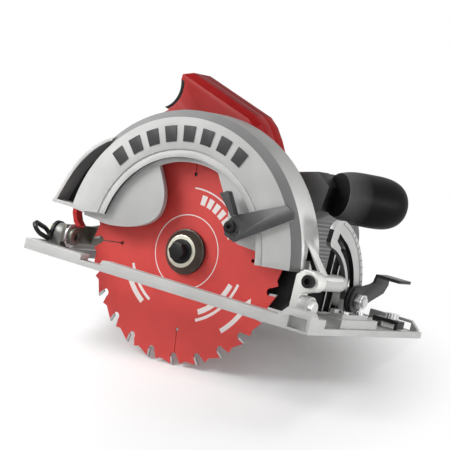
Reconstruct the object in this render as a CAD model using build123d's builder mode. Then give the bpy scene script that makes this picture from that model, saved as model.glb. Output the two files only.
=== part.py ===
"""Sidewinder circular saw: a blade on a geared spindle, in a frame that bevels and sets depth on a cast shoe.

Millimetres. +X is forward along the cut, +Y is towards the motor, +Z is up from the sole.
The origin lies on the sole, square below the spindle's axis, inboard of the blade by the amount blade_y.
"""
import os
from math import atan2, cos, degrees, pi, radians, sin, sqrt, tan

from build123d import *

# Clearances
running = 0.05
gap = 0.3
seat = 0.1

# Blade, arbor and depth of cut
blade_diameter = 184.15
blade_plate = 1.2
kerf = 1.8
tooth_count = 24
gullet_depth = 9.5
tip_length = 6.0
tip_thickness = 1.7
arbor_diameter = 15.875
cut_depth = 61.3
blade_y = -80.0
blade_radius = blade_diameter / 2
axis_z = blade_radius - cut_depth

# Spindle stack, measured inboard from the blade's middle plane
flange_radius = 18.5
inner_flange_end = 6.6
snout_end = 7.0
snout_radius = 21.0
front_bearing_bore = 17.0
front_bearing_outer = 35.0
front_bearing_width = 10.0
rear_bearing_bore = 8.0
rear_bearing_outer = 22.0
rear_bearing_width = 7.0
bolt_thread = 8.0

# Gear pair
gear_module = 1.0
pinion_teeth = 12
gear_teeth = 48
pressure_angle = 20.0
backlash = 0.12
gear_face = 9.0
motor_angle = 58.0
centre_distance = gear_module * (pinion_teeth + gear_teeth) / 2
motor_x = centre_distance * cos(radians(motor_angle))
motor_z = centre_distance * sin(radians(motor_angle))

# Lower guard
lower_clearance = 6.0
lower_radius = blade_radius + lower_clearance
lower_wall = 1.6
lower_front = -13.2
lower_back = 8.4
lower_start = 12.0
lower_end = 176.0
lower_hub = 4.0
strip_radius = 72.0

# Upper guard
guard_back = 15.0
guard_wall = 2.5
guard_face = -18.9
guard_clearance = 15.925
guard_radius = lower_radius + guard_clearance
rim_slope = 6.2
guard_face_radius = guard_radius - rim_slope
guard_shoulder = -12.5
lip_radius = 75.5
groove_radius = 81.5
groove_width = 1.4
guard_end_z = 11.0
chute_start_angle = 140.0
arm_outer_y = -8.0
arm_inner_y = 1.5

# Gear housing and motor
housing_wall = 2.6
spindle_boss_radius = 28.5
motor_boss_radius = 46.0
gear_wall_start = 42.0
gear_wall_end = 54.0
motor_radius = 45.0
motor_wall = 3.2
motor_end = 160.0
cap_end = 178.0
stator_start = 78.0
stator_end = 126.0
stator_bore = 26.5
core_radius = 25.8
shaft_radius = 6.0

# Rear handle
handle_y = 40.0
handle_half = 18.0
handle_wall = 3.2

# Shoe
base_front = 147.7
base_rear = -130.6
base_outer = -39.6
base_inner = 156.0
base_plate_height = 4.0
bar_width = 11.6
bar_height = 8.9
rim_width = 4.0
front_rim_height = 12.3
front_lip_height = 5.3
inner_rim_height = 12.3
inner_rear_height = 6.0
corner_height = 17.0
slot_front = 106.0
slot_rear = -104.0
slot_inner = 58.0

# Bevel axis and quadrant, depth pivot
bevel_y = -14.0
bevel_z = -13.0
bevel_travel = 50.0
pin_radius = 4.0
ear_radius = 8.5
quadrant_back = 127.3
quadrant_front = 131.5
quadrant_outer = 73.5
quadrant_inner = 49.8
lock_radius = 57.5
lock_angle = 9.5
lock_bolt_radius = 4.0
pivot_x = 128.0
pivot_z = 7.0
pivot_bolt_radius = 4.0
barrel_radius = 6.6
barrel_inner_y = 23.0
knuckle_width = 12.0
depth_travel = 27.5
depth_radius = 188.0
depth_slot_width = 8.4
bracket_face = 17.5
bracket_plate = 3.0


def at(inboard, x=0.0, z=0.0):
    """Plane square to the spindle, facing outboard, its axes X and Z from the spindle's centre."""
    return Plane(origin=(x, blade_y + inboard, axis_z + z), x_dir=(1, 0, 0), z_dir=(0, -1, 0))


def facing_front(x):
    """Plane square to the cut, facing forward, its axes Y and Z from the bevel axis."""
    return Plane(origin=(x, blade_y + bevel_y, axis_z + bevel_z), x_dir=(0, 1, 0), z_dir=(1, 0, 0))


def radial(angle):
    """Plane through the spindle's axis at an angle above +X, its axes the radius and the inboard way."""
    a = radians(angle)
    return Plane(origin=(0, blade_y, axis_z), x_dir=(cos(a), 0, sin(a)), z_dir=(-sin(a), 0, cos(a)))


def polar(radius, angle):
    return (radius * cos(radians(angle)), radius * sin(radians(angle)))


def sector(inner, outer, start, end):
    """Sketch of a ring sector about the origin."""
    with BuildSketch() as ring:
        with BuildLine():
            CenterArc((0, 0), outer, start, end - start)
            Line(polar(outer, end), polar(inner, end))
            CenterArc((0, 0), inner, end, start - end)
            Line(polar(inner, start), polar(outer, start))
        make_face()
    return ring.sketch


def polygon(*points):
    """Sketch of a closed outline with straight sides."""
    with BuildSketch() as outline:
        with BuildLine():
            Polyline(*points, close=True)
        make_face()
    return outline.sketch


def arc_slot(radius, width, start, end):
    """Sketch of a slot with round ends along an arc about the origin."""
    with BuildSketch() as slot:
        add(sector(radius - width / 2, radius + width / 2, start, end))
        with Locations(polar(radius, start), polar(radius, end)):
            Circle(width / 2)
    return slot.sketch


def housing_outline(grow):
    """Sketch of the gear housing's outline, the hull of the spindle boss and the motor boss."""
    with BuildSketch() as outline:
        Circle(spindle_boss_radius + grow)
        with Locations((motor_x, motor_z)):
            Circle(motor_boss_radius + grow)
        make_hull()
    return outline.sketch


def gear_outline(teeth, turn):
    """Sketch of a spur gear with involute flanks, a tooth standing at the angle given by turn."""
    pitch = gear_module * teeth / 2
    base = pitch * cos(radians(pressure_angle))
    tip = pitch + gear_module
    root = pitch - 1.25 * gear_module
    start = max(base, root)
    flare = tan(radians(pressure_angle)) - radians(pressure_angle)
    half_tooth = pi / (2 * teeth) - backlash / (4 * pitch)
    flank = []
    for step in range(5):
        r = start + (tip - start) * step / 4
        roll = sqrt((r / base) ** 2 - 1)
        flank.append((r, half_tooth + flare - (roll - atan2(roll, 1))))
    foot = [(root, -flank[0][1])] if start > root else []
    with BuildSketch() as outline:
        with BuildLine():
            for tooth in range(teeth):
                middle = radians(turn) + 2 * pi * tooth / teeth
                following = middle + 2 * pi / teeth
                rise = foot + [(r, -a) for r, a in flank]
                fall = [(r, -a) for r, a in reversed(rise)]
                points = [(r * cos(middle + a), r * sin(middle + a)) for r, a in rise + fall]
                left = following - flank[0][1]
                points.append((root * cos(left), root * sin(left)))
                Polyline(*points)
        make_face()
    return outline.sketch


spin_axis = Axis((0, blade_y, axis_z), (0, -1, 0))
low = (Align.MIN, Align.MIN, Align.MIN)
base_y = blade_y + base_outer
base_length = base_front - base_rear
base_width = base_inner - base_outer
slot_outer = base_outer + bar_width
bevel_height = axis_z + bevel_z

# Shoe details
notch_start = -73.0
notch_length = 21.0
notch_depth = 4.6
corner_start = 125.3
corner_slope = 7.6
corner_pocket = 6.0
front_rim_end = -15.5
inner_rim_start = 95.0
inner_rim_slope = 7.7
pad_start = 121.0
pad_front = 142.0
pad_outer = 20.0
pad_inner = 80.0
pad_height = 11.8
ear_front = 131.0
ear_length = 8.5
rear_ear_front = slot_rear - 4.5
corner_cut = 5.0
fence_x = 120.5
fence_width = 14.0
fence_height = 5.0
fence_wall = 3.0
fence_room = 1.0
fence_outer = 116.5
fence_length = 12.0
clamp_room = 4.0
fence_screw_radius = 2.5
rib_width = 2.5

with BuildPart() as base_plate:
    with BuildSketch():
        with Locations((base_rear, base_y)):
            Rectangle(base_length, base_width, align=(Align.MIN, Align.MIN))
        with Locations((slot_rear, blade_y + slot_outer)):
            Rectangle(
                slot_front - slot_rear, slot_inner - slot_outer, align=(Align.MIN, Align.MIN), mode=Mode.SUBTRACT
            )
        chamfer(vertices().group_by(Axis.Y)[-1], length=corner_cut)
    extrude(amount=base_plate_height)
    with Locations((base_rear, base_y, 0)):
        Box(base_length, bar_width, bar_height, align=low)
        Box(rim_width, base_width - corner_cut, bar_height, align=low)
    with Locations((base_rear + corner_cut, blade_y + base_inner - rim_width, 0)):
        Box(base_length - 2 * corner_cut, rim_width, inner_rear_height, align=low)
    rim_end = base_front - corner_cut
    with BuildSketch(Plane(origin=(0, blade_y + base_inner, 0), x_dir=(1, 0, 0), z_dir=(0, -1, 0))):
        add(polygon((inner_rim_start, 0), (rim_end, 0), (rim_end, inner_rear_height),
                    (rim_end - inner_rim_slope, inner_rim_height), (inner_rim_start, inner_rim_height)))
    extrude(amount=rim_width)
    with Locations((base_front - rim_width, base_y, 0)):
        Box(rim_width, front_rim_end - base_outer, front_rim_height, align=low)
        Box(rim_width, base_width - corner_cut, front_lip_height, align=low)
    for rib_x in (slot_rear - rib_width, slot_front):
        with Locations((rib_x, blade_y + slot_outer, 0)):
            Box(rib_width, base_width - bar_width - rim_width, bar_height - 2.0, align=low)
    with Locations((slot_rear, blade_y + slot_inner, 0)):
        Box(slot_front - slot_rear, rib_width, bar_height - 2.0, align=low)
    with BuildSketch(Plane(origin=(0, base_y + bar_width, 0), x_dir=(1, 0, 0), z_dir=(0, -1, 0))):
        add(polygon((corner_start - corner_slope, 0), (base_front, 0), (base_front, corner_height - 3.0),
                    (base_front - 3.0, corner_height), (corner_start, corner_height),
                    (corner_start - corner_slope, bar_height)))
    extrude(amount=bar_width)
    with Locations((corner_start + 3.0, base_y, 2.0)):
        Box(base_front - corner_start - 6.0, corner_pocket, 9.0, align=low, mode=Mode.SUBTRACT)
    with Locations((notch_start, base_y, bar_height - notch_depth)):
        Box(notch_length, bar_width, notch_depth, align=low, mode=Mode.SUBTRACT)
    with Locations((pad_start, blade_y + pad_outer, 0)):
        Box(pad_front - pad_start, pad_inner - pad_outer, pad_height, align=low)
    for ear_x, length in ((ear_front, ear_length), (rear_ear_front, ear_length)):
        with BuildSketch(facing_front(ear_x)):
            Circle(ear_radius)
            with Locations((0, -bevel_height)):
                Rectangle(2 * ear_radius, bevel_height, align=(Align.CENTER, Align.MIN))
            Circle(pin_radius + running, mode=Mode.SUBTRACT)
        extrude(amount=-length)
    with Locations((fence_x - fence_room, blade_y + base_inner - rim_width, base_plate_height)):
        Box(fence_width + 2 * fence_room, rim_width, fence_height + fence_room, align=low, mode=Mode.SUBTRACT)
    for foot in (fence_x - fence_wall - 7.0, fence_x + fence_width + clamp_room + fence_wall):
        with Locations((foot, blade_y + fence_outer, base_plate_height)):
            Box(4.0 if foot > fence_x else 7.0, fence_length, 2.0, align=low)
base_plate.part.label = "base_plate"

# Front bevel pin, fixed in the shoe's front ear, and the rear bevel bolt with its washer
pin_tail = 113.5
dome_height = 3.5
with BuildPart() as front_bevel_pin:
    with BuildSketch(facing_front(pin_tail)):
        Circle(pin_radius)
    extrude(amount=ear_front - pin_tail)
    with BuildSketch(facing_front(ear_front)):
        Circle(ear_radius - 1.5)
    extrude(amount=dome_height, taper=25)
front_bevel_pin.part.label = "front_bevel_pin"

bracket_foot_front = rear_ear_front + gap + bracket_plate
washer_thickness = 1.6
rear_head_height = 4.0
rear_bolt_tail = rear_ear_front - ear_length - 9.0
with BuildPart() as rear_bevel_bolt:
    with BuildSketch(facing_front(rear_bolt_tail)):
        Circle(pin_radius)
    extrude(amount=bracket_foot_front + gap + washer_thickness - rear_bolt_tail)
    with BuildSketch(facing_front(bracket_foot_front + gap + washer_thickness)):
        Circle(ear_radius - 1.0)
        RegularPolygon(3.2, 6, mode=Mode.SUBTRACT)
    extrude(amount=rear_head_height)
rear_bevel_bolt.part.label = "rear_bevel_bolt"

with BuildPart() as rear_bevel_washer:
    with BuildSketch(facing_front(bracket_foot_front + gap)):
        Circle(ear_radius + 1.5)
        Circle(pin_radius + running, mode=Mode.SUBTRACT)
    extrude(amount=washer_thickness)
rear_bevel_washer.part.label = "rear_bevel_washer"

# Loop lever on the rear bolt: a round hub, and a leaning loop that runs outboard from its lower side
loop_length = 24.0
loop_width = 14.0
loop_thickness = 3.0
loop_wall = 2.6
loop_twist = 45.0
loop_drop = 6.0
loop_start = 8.6
hub_radius = 9.5
hub_face = rear_ear_front - ear_length - gap
loop_way = Vector(-1.5, -22.4, 6.6).normalized()
loop_back = Vector(-1, 0, 0) - loop_way * Vector(-1, 0, 0).dot(loop_way)
loop_plane = Plane(origin=facing_front(hub_face - loop_thickness / 2).origin - Vector(0, 0, loop_drop), x_dir=loop_way,
                   z_dir=loop_back.rotate(Axis((0, 0, 0), loop_way), loop_twist))
with BuildPart() as rear_lock_lever:
    with BuildSketch(loop_plane.offset(-loop_thickness / 2)):
        with Locations((loop_start + loop_length / 2, 0)):
            SlotOverall(loop_length, loop_width)
            SlotOverall(loop_length - 2 * loop_wall, loop_width - 2 * loop_wall, mode=Mode.SUBTRACT)
    extrude(amount=loop_thickness)
    with BuildSketch(facing_front(hub_face)):
        Circle(hub_radius)
        Circle(pin_radius + running, mode=Mode.SUBTRACT)
    extrude(amount=-loop_thickness)
rear_lock_lever.part.label = "rear_lock_lever"

with BuildPart() as rear_lock_nut:
    with BuildSketch(facing_front(rear_bolt_tail)):
        RegularPolygon(6.5, 6)
        Circle(pin_radius + running, mode=Mode.SUBTRACT)
    extrude(amount=9.0 - gap - loop_thickness - gap)
rear_lock_nut.part.label = "rear_lock_nut"

# Bevel quadrant with its slot
foot_drop = bevel_height - pad_height
foot_outer = 38.0
foot_inner = 80.0
head_angle = 84.0
head_round = 12.0
head_corner = 5.0
blind_depth = 2.5
blind_tip = (59.8, 74.0)
blind_half = 3.3
scale_width = 3.0
scale_height = 1.0
flange_depth = 8.0
flange_height = 3.5
quadrant_screw_radius = 2.0
lock_slot_width = 2 * lock_bolt_radius + 1.0
screw_rows = (48.0, 72.0)
slot_end = lock_angle + bevel_travel + 1.0
slot_half = lock_slot_width / 2


def quadrant_band():
    """Sketch of the quadrant's arc with its rounded head."""
    with BuildSketch() as band:
        add(sector(quadrant_inner, quadrant_outer, -3.0, head_angle))
        fillet(band.vertices().sort_by(Axis.Y)[-1], radius=head_round)
        fillet(band.vertices().sort_by(Axis.X)[0], radius=head_corner)
    return band.sketch


with BuildPart() as bevel_quadrant:
    with BuildSketch(facing_front(quadrant_back)):
        add(quadrant_band())
        with Locations((foot_outer, -foot_drop)):
            Rectangle(foot_inner - foot_outer, foot_drop, align=(Align.MIN, Align.MIN))
        add(arc_slot(lock_radius, lock_slot_width, lock_angle - 1.0, slot_end), mode=Mode.SUBTRACT)
    extrude(amount=quadrant_front - quadrant_back)
    with BuildSketch(facing_front(quadrant_front)):
        add(polygon(polar(lock_radius - slot_half, slot_end - 14.0), polar(lock_radius - slot_half + 1.2, slot_end - 5.0),
                    polar(blind_tip[0] - blind_half, blind_tip[1]), polar(blind_tip[0] + blind_half, blind_tip[1]),
                    polar(lock_radius + slot_half, slot_end - 4.0), polar(lock_radius + slot_half, slot_end - 14.0)))
    extrude(amount=-blind_depth, mode=Mode.SUBTRACT)
    with BuildSketch(facing_front(quadrant_front)):
        add(sector(quadrant_outer - scale_width, quadrant_outer, 2.0, head_angle - 10.0))
    extrude(amount=scale_height)
    with BuildSketch(facing_front(quadrant_front)):
        with Locations((foot_outer, -foot_drop)):
            Rectangle(foot_inner - foot_outer, flange_height, align=(Align.MIN, Align.MIN))
    extrude(amount=flange_depth)
    for row in screw_rows:
        with Locations((quadrant_front + flange_depth / 2, blade_y + bevel_y + row, pad_height)):
            Cylinder(quadrant_screw_radius + seat, 2 * flange_height, mode=Mode.SUBTRACT)
bevel_quadrant.part.label = "bevel_quadrant"

with BuildPart() as quadrant_screws:
    for row in screw_rows:
        with Locations((quadrant_front + flange_depth / 2, blade_y + bevel_y + row, pad_height)):
            Cylinder(quadrant_screw_radius, flange_height, align=(Align.CENTER, Align.CENTER, Align.MIN))
        with Locations((quadrant_front + flange_depth / 2, blade_y + bevel_y + row, pad_height + flange_height)):
            Cylinder(3.4, 2.2, align=(Align.CENTER, Align.CENTER, Align.MIN))
quadrant_screws.part.label = "quadrant_screws"

# Clamp for a rip fence bar, and its thumb screw
clamp_top = base_plate_height + fence_height
screw_x = fence_x + fence_width - fence_screw_radius
screw_y = blade_y + fence_outer + fence_length / 2
with BuildPart() as fence_clamp:
    with Locations((fence_x - fence_wall, blade_y + fence_outer, base_plate_height)):
        Box(fence_width + clamp_room + 2 * fence_wall, fence_length, fence_height + fence_wall, align=low)
    with Locations((fence_x, blade_y + fence_outer, base_plate_height)):
        Box(fence_width + clamp_room, fence_length, fence_height, align=low, mode=Mode.SUBTRACT)
    with Locations((screw_x, screw_y, clamp_top)):
        Cylinder(fence_screw_radius + running, 4 * fence_wall, mode=Mode.SUBTRACT)
fence_clamp.part.label = "fence_clamp"

knob_radius = 5.5
knob_height = 4.5
with BuildPart() as fence_screw:
    with Locations((screw_x, screw_y, clamp_top + 0.4)):
        Cylinder(fence_screw_radius, fence_wall + 1.5, align=(Align.CENTER, Align.CENTER, Align.MIN))
    with Locations((screw_x, screw_y, clamp_top + fence_wall + gap)):
        Cylinder(knob_radius, knob_height, align=(Align.CENTER, Align.CENTER, Align.MIN))
    with Locations((screw_x, screw_y, clamp_top + fence_wall + gap)):
        with PolarLocations(knob_radius, 12):
            Cylinder(0.8, knob_height, align=(Align.CENTER, Align.CENTER, Align.MIN), mode=Mode.SUBTRACT)
fence_screw.part.label = "fence_screw"

# Front tilt bracket: the knuckle of the depth pivot, a ribbed web and the boss of the bevel lock bolt
knuckle_rear = 115.2
knuckle_wall = 1.6
knuckle_radius = barrel_radius + knuckle_wall
foot_depth = 6.0
rib_bottom = -5.0
knuckle_foot_front = ear_front - ear_length - gap
knuckle_inner_y = arm_outer_y - gap
web_back = 116.2
web_thickness = 2.6
web_reach = 60.0
web_side = 22.0
web_step = 3.0
web_top = 34.0
web_rib_height = 2.2
boss_radius = 9.0
lug_width = 4.0
lock_y = lock_radius * cos(radians(lock_angle))
lock_z = lock_radius * sin(radians(lock_angle))
web_ribs = ((web_side + 1.0, web_top - 2.0), (34.1, 24.0), (43.0, 8.0))
with BuildPart() as front_tilt_bracket:
    with BuildSketch(at(knuckle_inner_y)):
        with Locations((pivot_x, pivot_z)):
            Circle(knuckle_radius)
        add(polygon((knuckle_rear, bevel_z), (knuckle_rear, pivot_z + 3.0),
                    (knuckle_rear + 6.0, pivot_z + knuckle_radius), (pivot_x, pivot_z + knuckle_radius),
                    (pivot_x, pivot_z - knuckle_radius),
                    (knuckle_foot_front, bevel_z + ear_radius + 0.8), (knuckle_foot_front, bevel_z)))
        with Locations((knuckle_rear, bevel_z - foot_depth)):
            Rectangle(knuckle_foot_front - knuckle_rear, foot_depth, align=(Align.MIN, Align.MIN))
    extrude(amount=knuckle_width)
    with BuildSketch(facing_front(web_back)):
        add(polygon((knuckle_inner_y - bevel_y, rib_bottom), (web_reach - bevel_y, rib_bottom),
                    (web_reach - 1.0 - bevel_y, web_top / 2 - bevel_z), (web_reach - 10.0 - bevel_y, web_top - 3.0 - bevel_z),
                    (web_reach - 22.0 - bevel_y, web_top - bevel_z), (web_side - bevel_y, web_top - bevel_z),
                    (web_side - bevel_y, web_step - bevel_z), (knuckle_inner_y - bevel_y, web_step - bevel_z)))
    extrude(amount=web_thickness)
    with BuildSketch(at(barrel_inner_y + gap + lug_width)):
        with Locations((pivot_x, pivot_z)):
            Circle(barrel_radius)
        add(polygon((web_back, pivot_z - 6.0), (pivot_x, pivot_z - 6.0), (pivot_x, pivot_z + 6.0),
                    (web_back, pivot_z + 6.0)))
    extrude(amount=lug_width)
    with BuildSketch(facing_front(web_back + web_thickness)):
        for rib, top in web_ribs:
            with Locations((rib - bevel_y, rib_bottom)):
                Rectangle(rib_width - 0.7, top - bevel_z - rib_bottom, align=(Align.CENTER, Align.MIN))
    extrude(amount=web_rib_height)
    with BuildSketch(facing_front(web_back + web_thickness)):
        with Locations((lock_y, lock_z)):
            Circle(boss_radius)
    extrude(amount=quadrant_back - gap - web_back - web_thickness)
    with BuildSketch(facing_front(knuckle_rear - 1.0)):
        Circle(pin_radius + running)
    extrude(amount=ear_front - knuckle_rear, mode=Mode.SUBTRACT)
    with BuildSketch(at(barrel_inner_y + 2 * lug_width)):
        with Locations((pivot_x, pivot_z)):
            Circle(pivot_bolt_radius + seat)
    extrude(amount=barrel_inner_y + 2 * lug_width - knuckle_inner_y + knuckle_width, mode=Mode.SUBTRACT)
    with BuildSketch(facing_front(web_back - 1.0)):
        with Locations((lock_y, lock_z)):
            Circle(lock_bolt_radius + seat)
    extrude(amount=20.0, mode=Mode.SUBTRACT)
front_tilt_bracket.part.label = "front_tilt_bracket"

# Bolt of the depth pivot, its socket head sunk in the knuckle
head_recess = 4.0
pivot_head_radius = 5.2
with BuildPart() as depth_pivot_bolt:
    with BuildSketch(at(barrel_inner_y + gap + lug_width)):
        with Locations((pivot_x, pivot_z)):
            Circle(pivot_bolt_radius)
    extrude(amount=barrel_inner_y + gap + lug_width - knuckle_inner_y + knuckle_width)
    with BuildSketch(at(knuckle_inner_y - knuckle_width)):
        with Locations((pivot_x, pivot_z)):
            Circle(pivot_head_radius)
            RegularPolygon(2.9, 6, mode=Mode.SUBTRACT)
    extrude(amount=head_recess)
depth_pivot_bolt.part.label = "depth_pivot_bolt"

# Bevel lock: bolt, black disc, lever plate with a bent tab, nut
disc_thickness = 3.0
lever_plate = 2.5
disc_back = quadrant_front + scale_height + gap
lever_back = disc_back + disc_thickness + gap
nut_height = 6.0
with BuildPart() as bevel_lock_bolt:
    with BuildSketch(facing_front(web_back - 3.0)):
        with Locations((lock_y, lock_z)):
            RegularPolygon(7.0, 6)
    extrude(amount=3.0)
    with BuildSketch(facing_front(web_back)):
        with Locations((lock_y, lock_z)):
            Circle(lock_bolt_radius)
    extrude(amount=lever_back + lever_plate + gap + nut_height + 1.5 - web_back)
bevel_lock_bolt.part.label = "bevel_lock_bolt"

with BuildPart() as bevel_lock_disc:
    with BuildSketch(facing_front(disc_back)):
        with Locations((lock_y, lock_z)):
            Circle(10.8)
            Circle(lock_bolt_radius + running, mode=Mode.SUBTRACT)
    extrude(amount=disc_thickness)
bevel_lock_disc.part.label = "bevel_lock_disc"

tab_reach = 22.0
tab_width = 19.8
tab_start = 26.4
tab_rise = 22.0
with BuildPart() as bevel_lock_lever:
    with BuildSketch(facing_front(lever_back)):
        with Locations((lock_y, lock_z)):
            Circle(10.0)
        add(polygon((lock_y - 2.0, lock_z + 9.8), (lock_y + 19.4, lock_z + 13.8), (lock_y + tab_start - 2.4, lock_z + 15.6),
                    (lock_y + tab_start, lock_z + tab_rise), (lock_y + tab_start + tab_width, lock_z + tab_rise),
                    (lock_y + tab_start + tab_width + 1.0, lock_z + 14.3), (lock_y + 42.0, lock_z + 7.1),
                    (lock_y + 21.6, lock_z - 0.6), (lock_y + 5.0, lock_z - 8.6)))
        with Locations((lock_y, lock_z)):
            Circle(lock_bolt_radius + running, mode=Mode.SUBTRACT)
    extrude(amount=lever_plate)
    with BuildSketch(facing_front(lever_back)):
        with Locations((lock_y + tab_start, lock_z + tab_rise - lever_plate)):
            Rectangle(tab_width, lever_plate, align=(Align.MIN, Align.MIN))
    extrude(amount=tab_reach)
bevel_lock_lever.part.label = "bevel_lock_lever"

with BuildPart() as bevel_lock_nut:
    with BuildSketch(facing_front(lever_back + lever_plate + gap)):
        with Locations((lock_y, lock_z)):
            RegularPolygon(6.5, 6)
            Circle(lock_bolt_radius + seat, mode=Mode.SUBTRACT)
    extrude(amount=nut_height)
bevel_lock_nut.part.label = "bevel_lock_nut"

# Rear depth bracket: a slotted arc about the depth pivot on a foot that turns on the rear bevel bolt
arc_half = 8.5
foot_top = 9.0
foot_bottom = -6.0
slot_low = 180.0
slot_high = slot_low - depth_travel
bracket_rear = rear_ear_front + gap
with BuildPart() as depth_bracket:
    with BuildSketch(at(bracket_face + bracket_plate, pivot_x, pivot_z)):
        add(sector(depth_radius - arc_half, depth_radius + arc_half, slot_high - 2.4, slot_low + 3.0))
        add(polygon((bracket_rear - pivot_x, bevel_z + foot_bottom - pivot_z),
                    (bracket_rear - pivot_x, bevel_z + foot_top - pivot_z),
                    (-depth_radius - arc_half + 1.0, 4.0), (-depth_radius + arc_half, 4.0),
                    (-depth_radius + arc_half, bevel_z + foot_bottom - pivot_z)))
        add(arc_slot(depth_radius, depth_slot_width, slot_high - 0.4, slot_low + 0.4), mode=Mode.SUBTRACT)
    extrude(amount=bracket_plate)
    with BuildSketch(facing_front(bracket_rear)):
        with Locations((-ear_radius, foot_bottom)):
            Rectangle(bracket_face + bracket_plate - bevel_y + ear_radius, foot_top - foot_bottom,
                      align=(Align.MIN, Align.MIN))
        Circle(pin_radius + running, mode=Mode.SUBTRACT)
    extrude(amount=bracket_plate)
depth_bracket.part.label = "depth_bracket"

# Upper guard: back wall, rim and front ring, with the chip chute at the rear and the pivot arm at the front
end_angle = degrees(atan2(guard_end_z, sqrt(guard_radius**2 - guard_end_z**2)))
rear_angle = 180.0 - end_angle
face_thickness = 2.4
chute_lip = -4.0
chute_wall = 3.0
chute_floor = 2.8
chute_line = ((0.0, 138.0), (4.5, 141.0), (13.3, 151.3), (17.7, 159.7), (20.8, 168.2), (24.9, 176.2))
chute_outer = [polar(guard_radius + rise, angle) for rise, angle in chute_line]
chute_inner = [polar(guard_radius + rise - chute_wall, angle) for rise, angle in chute_line]
chute_tail = chute_outer[-1]
arm_top = (104.5, 41.0)
arm_inner = (108.5, 30.0)
ring_profile = (
    (lip_radius, guard_face + 0.5 + face_thickness), (lip_radius, guard_face + 0.5),
    (groove_radius - groove_width / 2, guard_face + 0.5), (groove_radius - groove_width / 2, guard_face + 1.2),
    (groove_radius + groove_width / 2, guard_face + 1.2), (groove_radius + groove_width / 2, guard_face),
    (guard_face_radius, guard_face),
)
with BuildPart() as upper_guard:
    with BuildSketch(at(guard_back)):
        add(sector(1.0, guard_radius, end_angle, rear_angle))
        add(polygon((-guard_radius + 6.0, guard_end_z), (guard_radius - 6.0, guard_end_z), (34.0, -22.0),
                    (-34.0, -22.0)))
        with BuildLine():
            Spline(*chute_outer)
            Polyline(chute_tail, (-guard_radius + 8.0, chute_tail[1]), (-60.0, 40.0), chute_outer[0])
        make_face()
        Circle(snout_radius + seat, mode=Mode.SUBTRACT)
    extrude(amount=guard_wall)
    with BuildSketch(radial(end_angle)):
        add(polygon(*ring_profile, (guard_radius, guard_shoulder), (guard_radius, guard_back),
                    (guard_radius - guard_wall, guard_back), (guard_radius - guard_wall, guard_shoulder + 1.0),
                    (guard_face_radius - 1.0, guard_face + 0.5 + face_thickness)))
    revolve(axis=spin_axis, revolution_arc=chute_start_angle - end_angle)
    with BuildSketch(radial(chute_start_angle)):
        add(polygon(*ring_profile, (guard_face_radius, guard_face + 0.5 + face_thickness)))
    revolve(axis=spin_axis, revolution_arc=rear_angle - chute_start_angle)
    with BuildSketch(at(guard_back)):
        with BuildLine():
            Spline(*chute_outer)
            Line(chute_tail, chute_inner[-1])
            Spline(*reversed(chute_inner))
            Line(chute_inner[0], chute_outer[0])
        make_face()
        with Locations(chute_tail):
            Rectangle(-guard_radius + 8.0 - chute_tail[0], chute_floor, align=(Align.MIN, Align.MIN))
    extrude(amount=guard_back - chute_lip)
    with BuildSketch(at(arm_inner_y)):
        add(polygon(arm_top, (pivot_x + barrel_radius, pivot_z + 2.0), (pivot_x - barrel_radius, pivot_z), arm_inner))
    extrude(amount=arm_inner_y - arm_outer_y)
    with BuildSketch(at(barrel_inner_y)):
        with Locations((pivot_x, pivot_z)):
            Circle(barrel_radius)
    extrude(amount=barrel_inner_y - arm_outer_y)
    with BuildSketch(at(barrel_inner_y + 1.0)):
        with Locations((pivot_x, pivot_z)):
            Circle(pivot_bolt_radius + running)
    extrude(amount=barrel_inner_y - arm_outer_y + 2.0, mode=Mode.SUBTRACT)
upper_guard.part.label = "upper_guard"

# Plain raised bars on the ring's face
trim_height = 0.6
trim_inner = 88.0
trim_outer = 101.0
trim_start = 62.0
trim_pitch = 10.5
trim_sweep = 6.5
trim_count = 8
with BuildPart() as guard_trim:
    with BuildSketch(at(guard_face)):
        for bar in range(trim_count):
            start = trim_start + bar * trim_pitch
            add(sector(trim_inner, trim_outer, start, start + trim_sweep))
    extrude(amount=trim_height)
guard_trim.part.label = "guard_trim"

# Dust nozzle below the front edge of the guard's back wall
nozzle_front = lower_back + lower_wall + 0.6
nozzle_back = 22.0
nozzle_top = guard_end_z - 0.5
with BuildPart() as dust_nozzle:
    with BuildSketch(at(nozzle_back)):
        add(polygon((72.0, -18.0), (78.0, -25.0), (92.0, -25.0), (97.0, -8.0), (103.0, nozzle_top),
                    (74.0, nozzle_top)))
    extrude(amount=nozzle_back - nozzle_front)
    with BuildSketch(at(guard_back - guard_wall - seat)):
        add(polygon((74.0, nozzle_top), (103.0, nozzle_top), (102.0, guard_end_z + 6.0), (78.0, guard_end_z + 6.0)))
    extrude(amount=guard_back - guard_wall - seat - nozzle_front)
    add(upper_guard.part, mode=Mode.SUBTRACT)
dust_nozzle.part.label = "dust_nozzle"

# Bearing box: closes the gear housing, carries the spindle's front bearing and the lower guard's snout
box_plate = 5.0
snout_wall = 2.5
with BuildPart() as bearing_box:
    with BuildSketch(at(guard_back + box_plate)):
        add(housing_outline(-housing_wall - seat))
    extrude(amount=box_plate)
    with BuildSketch(at(guard_back)):
        Circle(snout_radius)
    extrude(amount=guard_back - snout_end)
    with BuildSketch(at(guard_back + box_plate)):
        Circle(front_bearing_outer / 2)
    extrude(amount=guard_back + box_plate - snout_end - snout_wall, mode=Mode.SUBTRACT)
    with BuildSketch(at(guard_back)):
        Circle(front_bearing_bore / 2 + 2.0)
    extrude(amount=guard_back - snout_end, mode=Mode.SUBTRACT)
    with BuildSketch(at(guard_back + box_plate)):
        with Locations((motor_x, motor_z)):
            Circle(gear_module * (pinion_teeth + 2) / 2 + 2.0)
    extrude(amount=box_plate, mode=Mode.SUBTRACT)
bearing_box.part.label = "bearing_box"

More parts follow.
